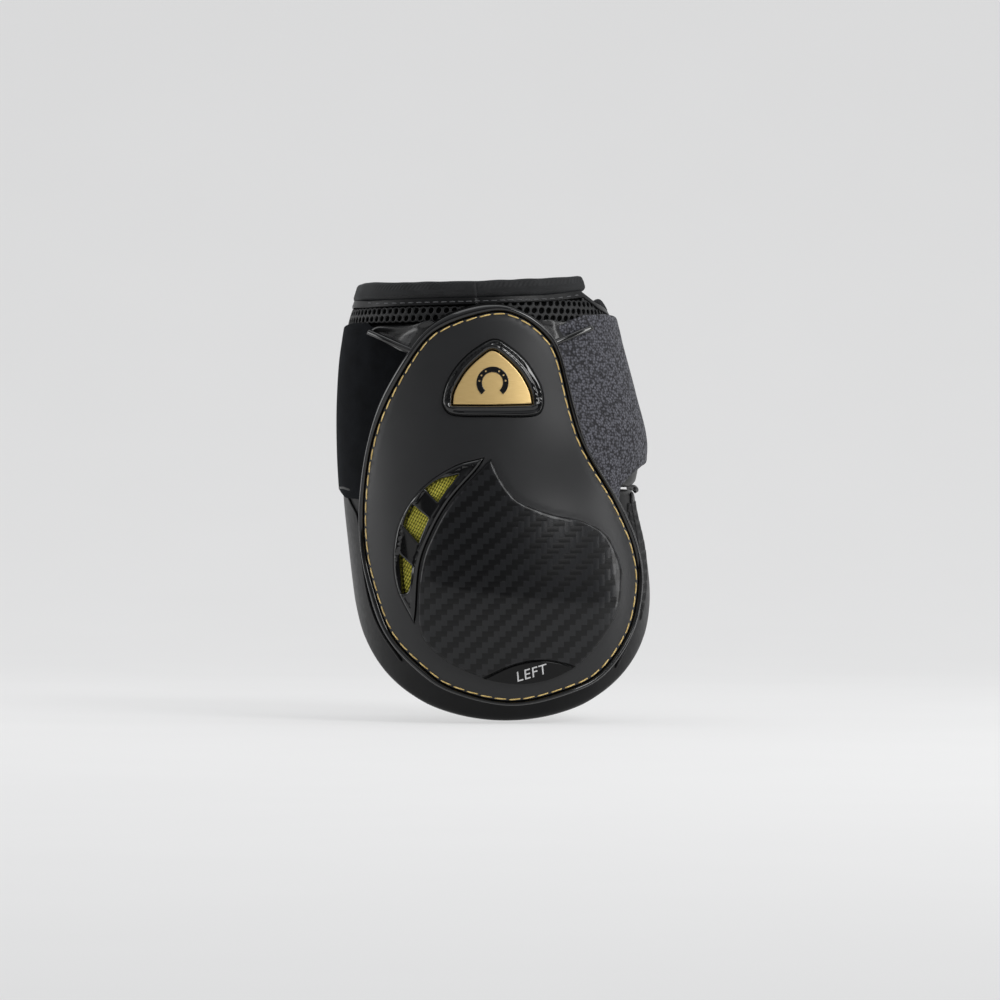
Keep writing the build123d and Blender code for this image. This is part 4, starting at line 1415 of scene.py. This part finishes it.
def make_flange():
    """Piping and fine seams that hold the shell to the cup, and the open mesh beside it."""
    tube("piping_left", [(-54.6, 36.2), (-53.1, 32.5), (-50.2, 26.2), (-49.2, 16.3), (-48, 6.5), (-45.6, -5),
                         (-41.4, -15), (-34, -25.5)], 0.55, 0.25, NEOPRENE, body="root", slot="neoprene")
    tube("piping_right", [(50.2, 36.5), (50.6, 30), (52.4, 20), (53.4, 8), (52.8, -4), (50, -16), (44, -28)],
         0.55, 0.25, NEOPRENE, body="root", slot="neoprene")
    seam = moved_out(rim_loop, 2.0)
    stitches("flange_seams", seam, 2.6, (1.9, 0.42, 0.34), 0.2, FINE_THREAD, lift_ends=0.12,
             keep=lambda p: -14 < p[1] < 27, body="root", slot="thread_grey",
             stands_for=("flange_stitching",))
    line = smooth_path([(-47, 106.2), (-40, 105.6), (-25, 105.7), (-10, 105.9), (5, 106.4), (20, 107.1),
                        (31, 108.9)])
    stitches("collar_seam", line, 3.0, (2.1, 0.42, 0.34), 0.85, FINE_THREAD, closed=False, lift_ends=0.1,
             body="root", slot="thread_grey", stands_for=("collar_stitching",))
    net = hex_band("flange_mesh_right", 61.0, 78.0, line_of([(59, -14), (64, -8), (78, 14)]),
                   line_of([(59, 34), (78, 34)]), 0.32, thick=0.6, cell=(2.4, 2.1), slot="spacer_mesh")
    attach(net, "root")


make_cup()
make_wrap_half(-1, "wrap_left", "left_panel", 164 * DEG)
make_wrap_half(1, "wrap_right", "right_panel", 163 * DEG)
make_mesh_bands()
make_collar()
make_velvet()
make_strap()
make_cup_beads()
make_flange()
cover_node("hook_patch", HOOK)


# ---------------------------------------------------------------- stage, light and camera


def make_stage():
    """Pale floor that sweeps up behind the object."""
    floor_z = cad_box[0][2] / MM - 0.2
    half = 2600
    bend_y = 500
    bend = 900
    profile = [(-half, floor_z), (bend_y, floor_z)]
    for a in np.radians(np.arange(6, 91, 6)):
        profile.append((bend_y + bend * math.sin(a), floor_z + bend * (1 - math.cos(a))))
    profile.append((bend_y + bend, floor_z + 2800))
    vertices = [(x, y, z) for y, z in profile for x in (-half, half)]
    faces = [(2 * i, 2 * i + 1, 2 * i + 3, 2 * i + 2) for i in range(len(profile) - 1)]
    n = Nodes("studio_paper", Roughness=0.9, Specular_IOR_Level=0.0, Emission_Strength=0.52)
    n.shader.inputs["Emission Color"].default_value = (1, 1, 1, 1)
    paper = n.use(n.ramp(n.noise(n.place(), 0.01, 2), [(0.3, 0.31), (0.7, 0.32)]))
    piece("studio_floor", vertices, faces, paper)


def area_light(name, place, target, size, power):
    data = bpy.data.lights.new(name, "AREA")
    data.shape = "RECTANGLE"
    data.size, data.size_y = size[0] * MM, size[1] * MM
    data.energy = power
    light = bpy.data.objects.new(name, data)
    light.location = Vector(place) * MM
    aim = (Vector(target) - Vector(place)).normalized()
    light.rotation_euler = aim.to_track_quat("-Z", "Y").to_euler()
    bpy.context.scene.collection.objects.link(light)


# Name, place, target and size in mm, and power in watts.
LIGHTS = [
    ("key", (680, -720, 700), (0, 0, 50), (420, 520), 6),
    ("fill", (-900, -700, 300), (0, 0, 30), (300, 900), 0.35),
    ("top", (0, 100, 1100), (0, 0, 40), (900, 700), 2),
    ("edge_left", (-700, 40, 210), (0, 0, 60), (420, 360), 1.6),
    ("edge_right", (700, -80, 260), (0, 0, 50), (110, 700), 1.6),
]


def make_light():
    """Soft lights, and a world that is pale to the camera and darkens towards the floor for reflections."""
    for light in LIGHTS:
        area_light(*light)
    world = bpy.data.worlds.new("studio")
    world.use_nodes = True
    tree = world.node_tree
    source = tree.nodes.new("ShaderNodeTexCoord")
    split = tree.nodes.new("ShaderNodeSeparateXYZ")
    ramp = tree.nodes.new("ShaderNodeValToRGB")
    ramp.color_ramp.elements[0].color = (0.015, 0.015, 0.016, 1)
    ramp.color_ramp.elements[1].color = (0.46, 0.47, 0.49, 1)
    ramp.color_ramp.elements[1].position = 0.8
    tree.links.new(source.outputs["Generated"], split.inputs[0])
    tree.links.new(split.outputs[2], ramp.inputs["Fac"])
    seen = tree.nodes.new("ShaderNodeLightPath")
    mix = tree.nodes.new("ShaderNodeMix")
    mix.data_type = "RGBA"
    mix.inputs[7].default_value = (0.72, 0.72, 0.73, 1)
    tree.links.new(seen.outputs["Is Camera Ray"], mix.inputs[0])
    tree.links.new(ramp.outputs["Color"], mix.inputs[6])
    tree.links.new(mix.outputs[2], tree.nodes["Background"].inputs["Color"])
    bpy.context.scene.world = world


CAMERA_PLACE = (1.865, -1865, 33.57)
LENS = 180
SENSOR = 36


def make_camera():
    data = bpy.data.cameras.new("camera")
    data.lens = LENS
    data.sensor_width = SENSOR
    data.clip_end = 50
    camera = bpy.data.objects.new("camera", data)
    camera.location = Vector(CAMERA_PLACE) * MM
    camera.rotation_euler = (math.radians(90), 0, 0)
    bpy.context.scene.collection.objects.link(camera)
    bpy.context.scene.camera = camera
    bpy.context.scene.view_settings.view_transform = "Standard"


make_stage()
make_light()
make_camera()
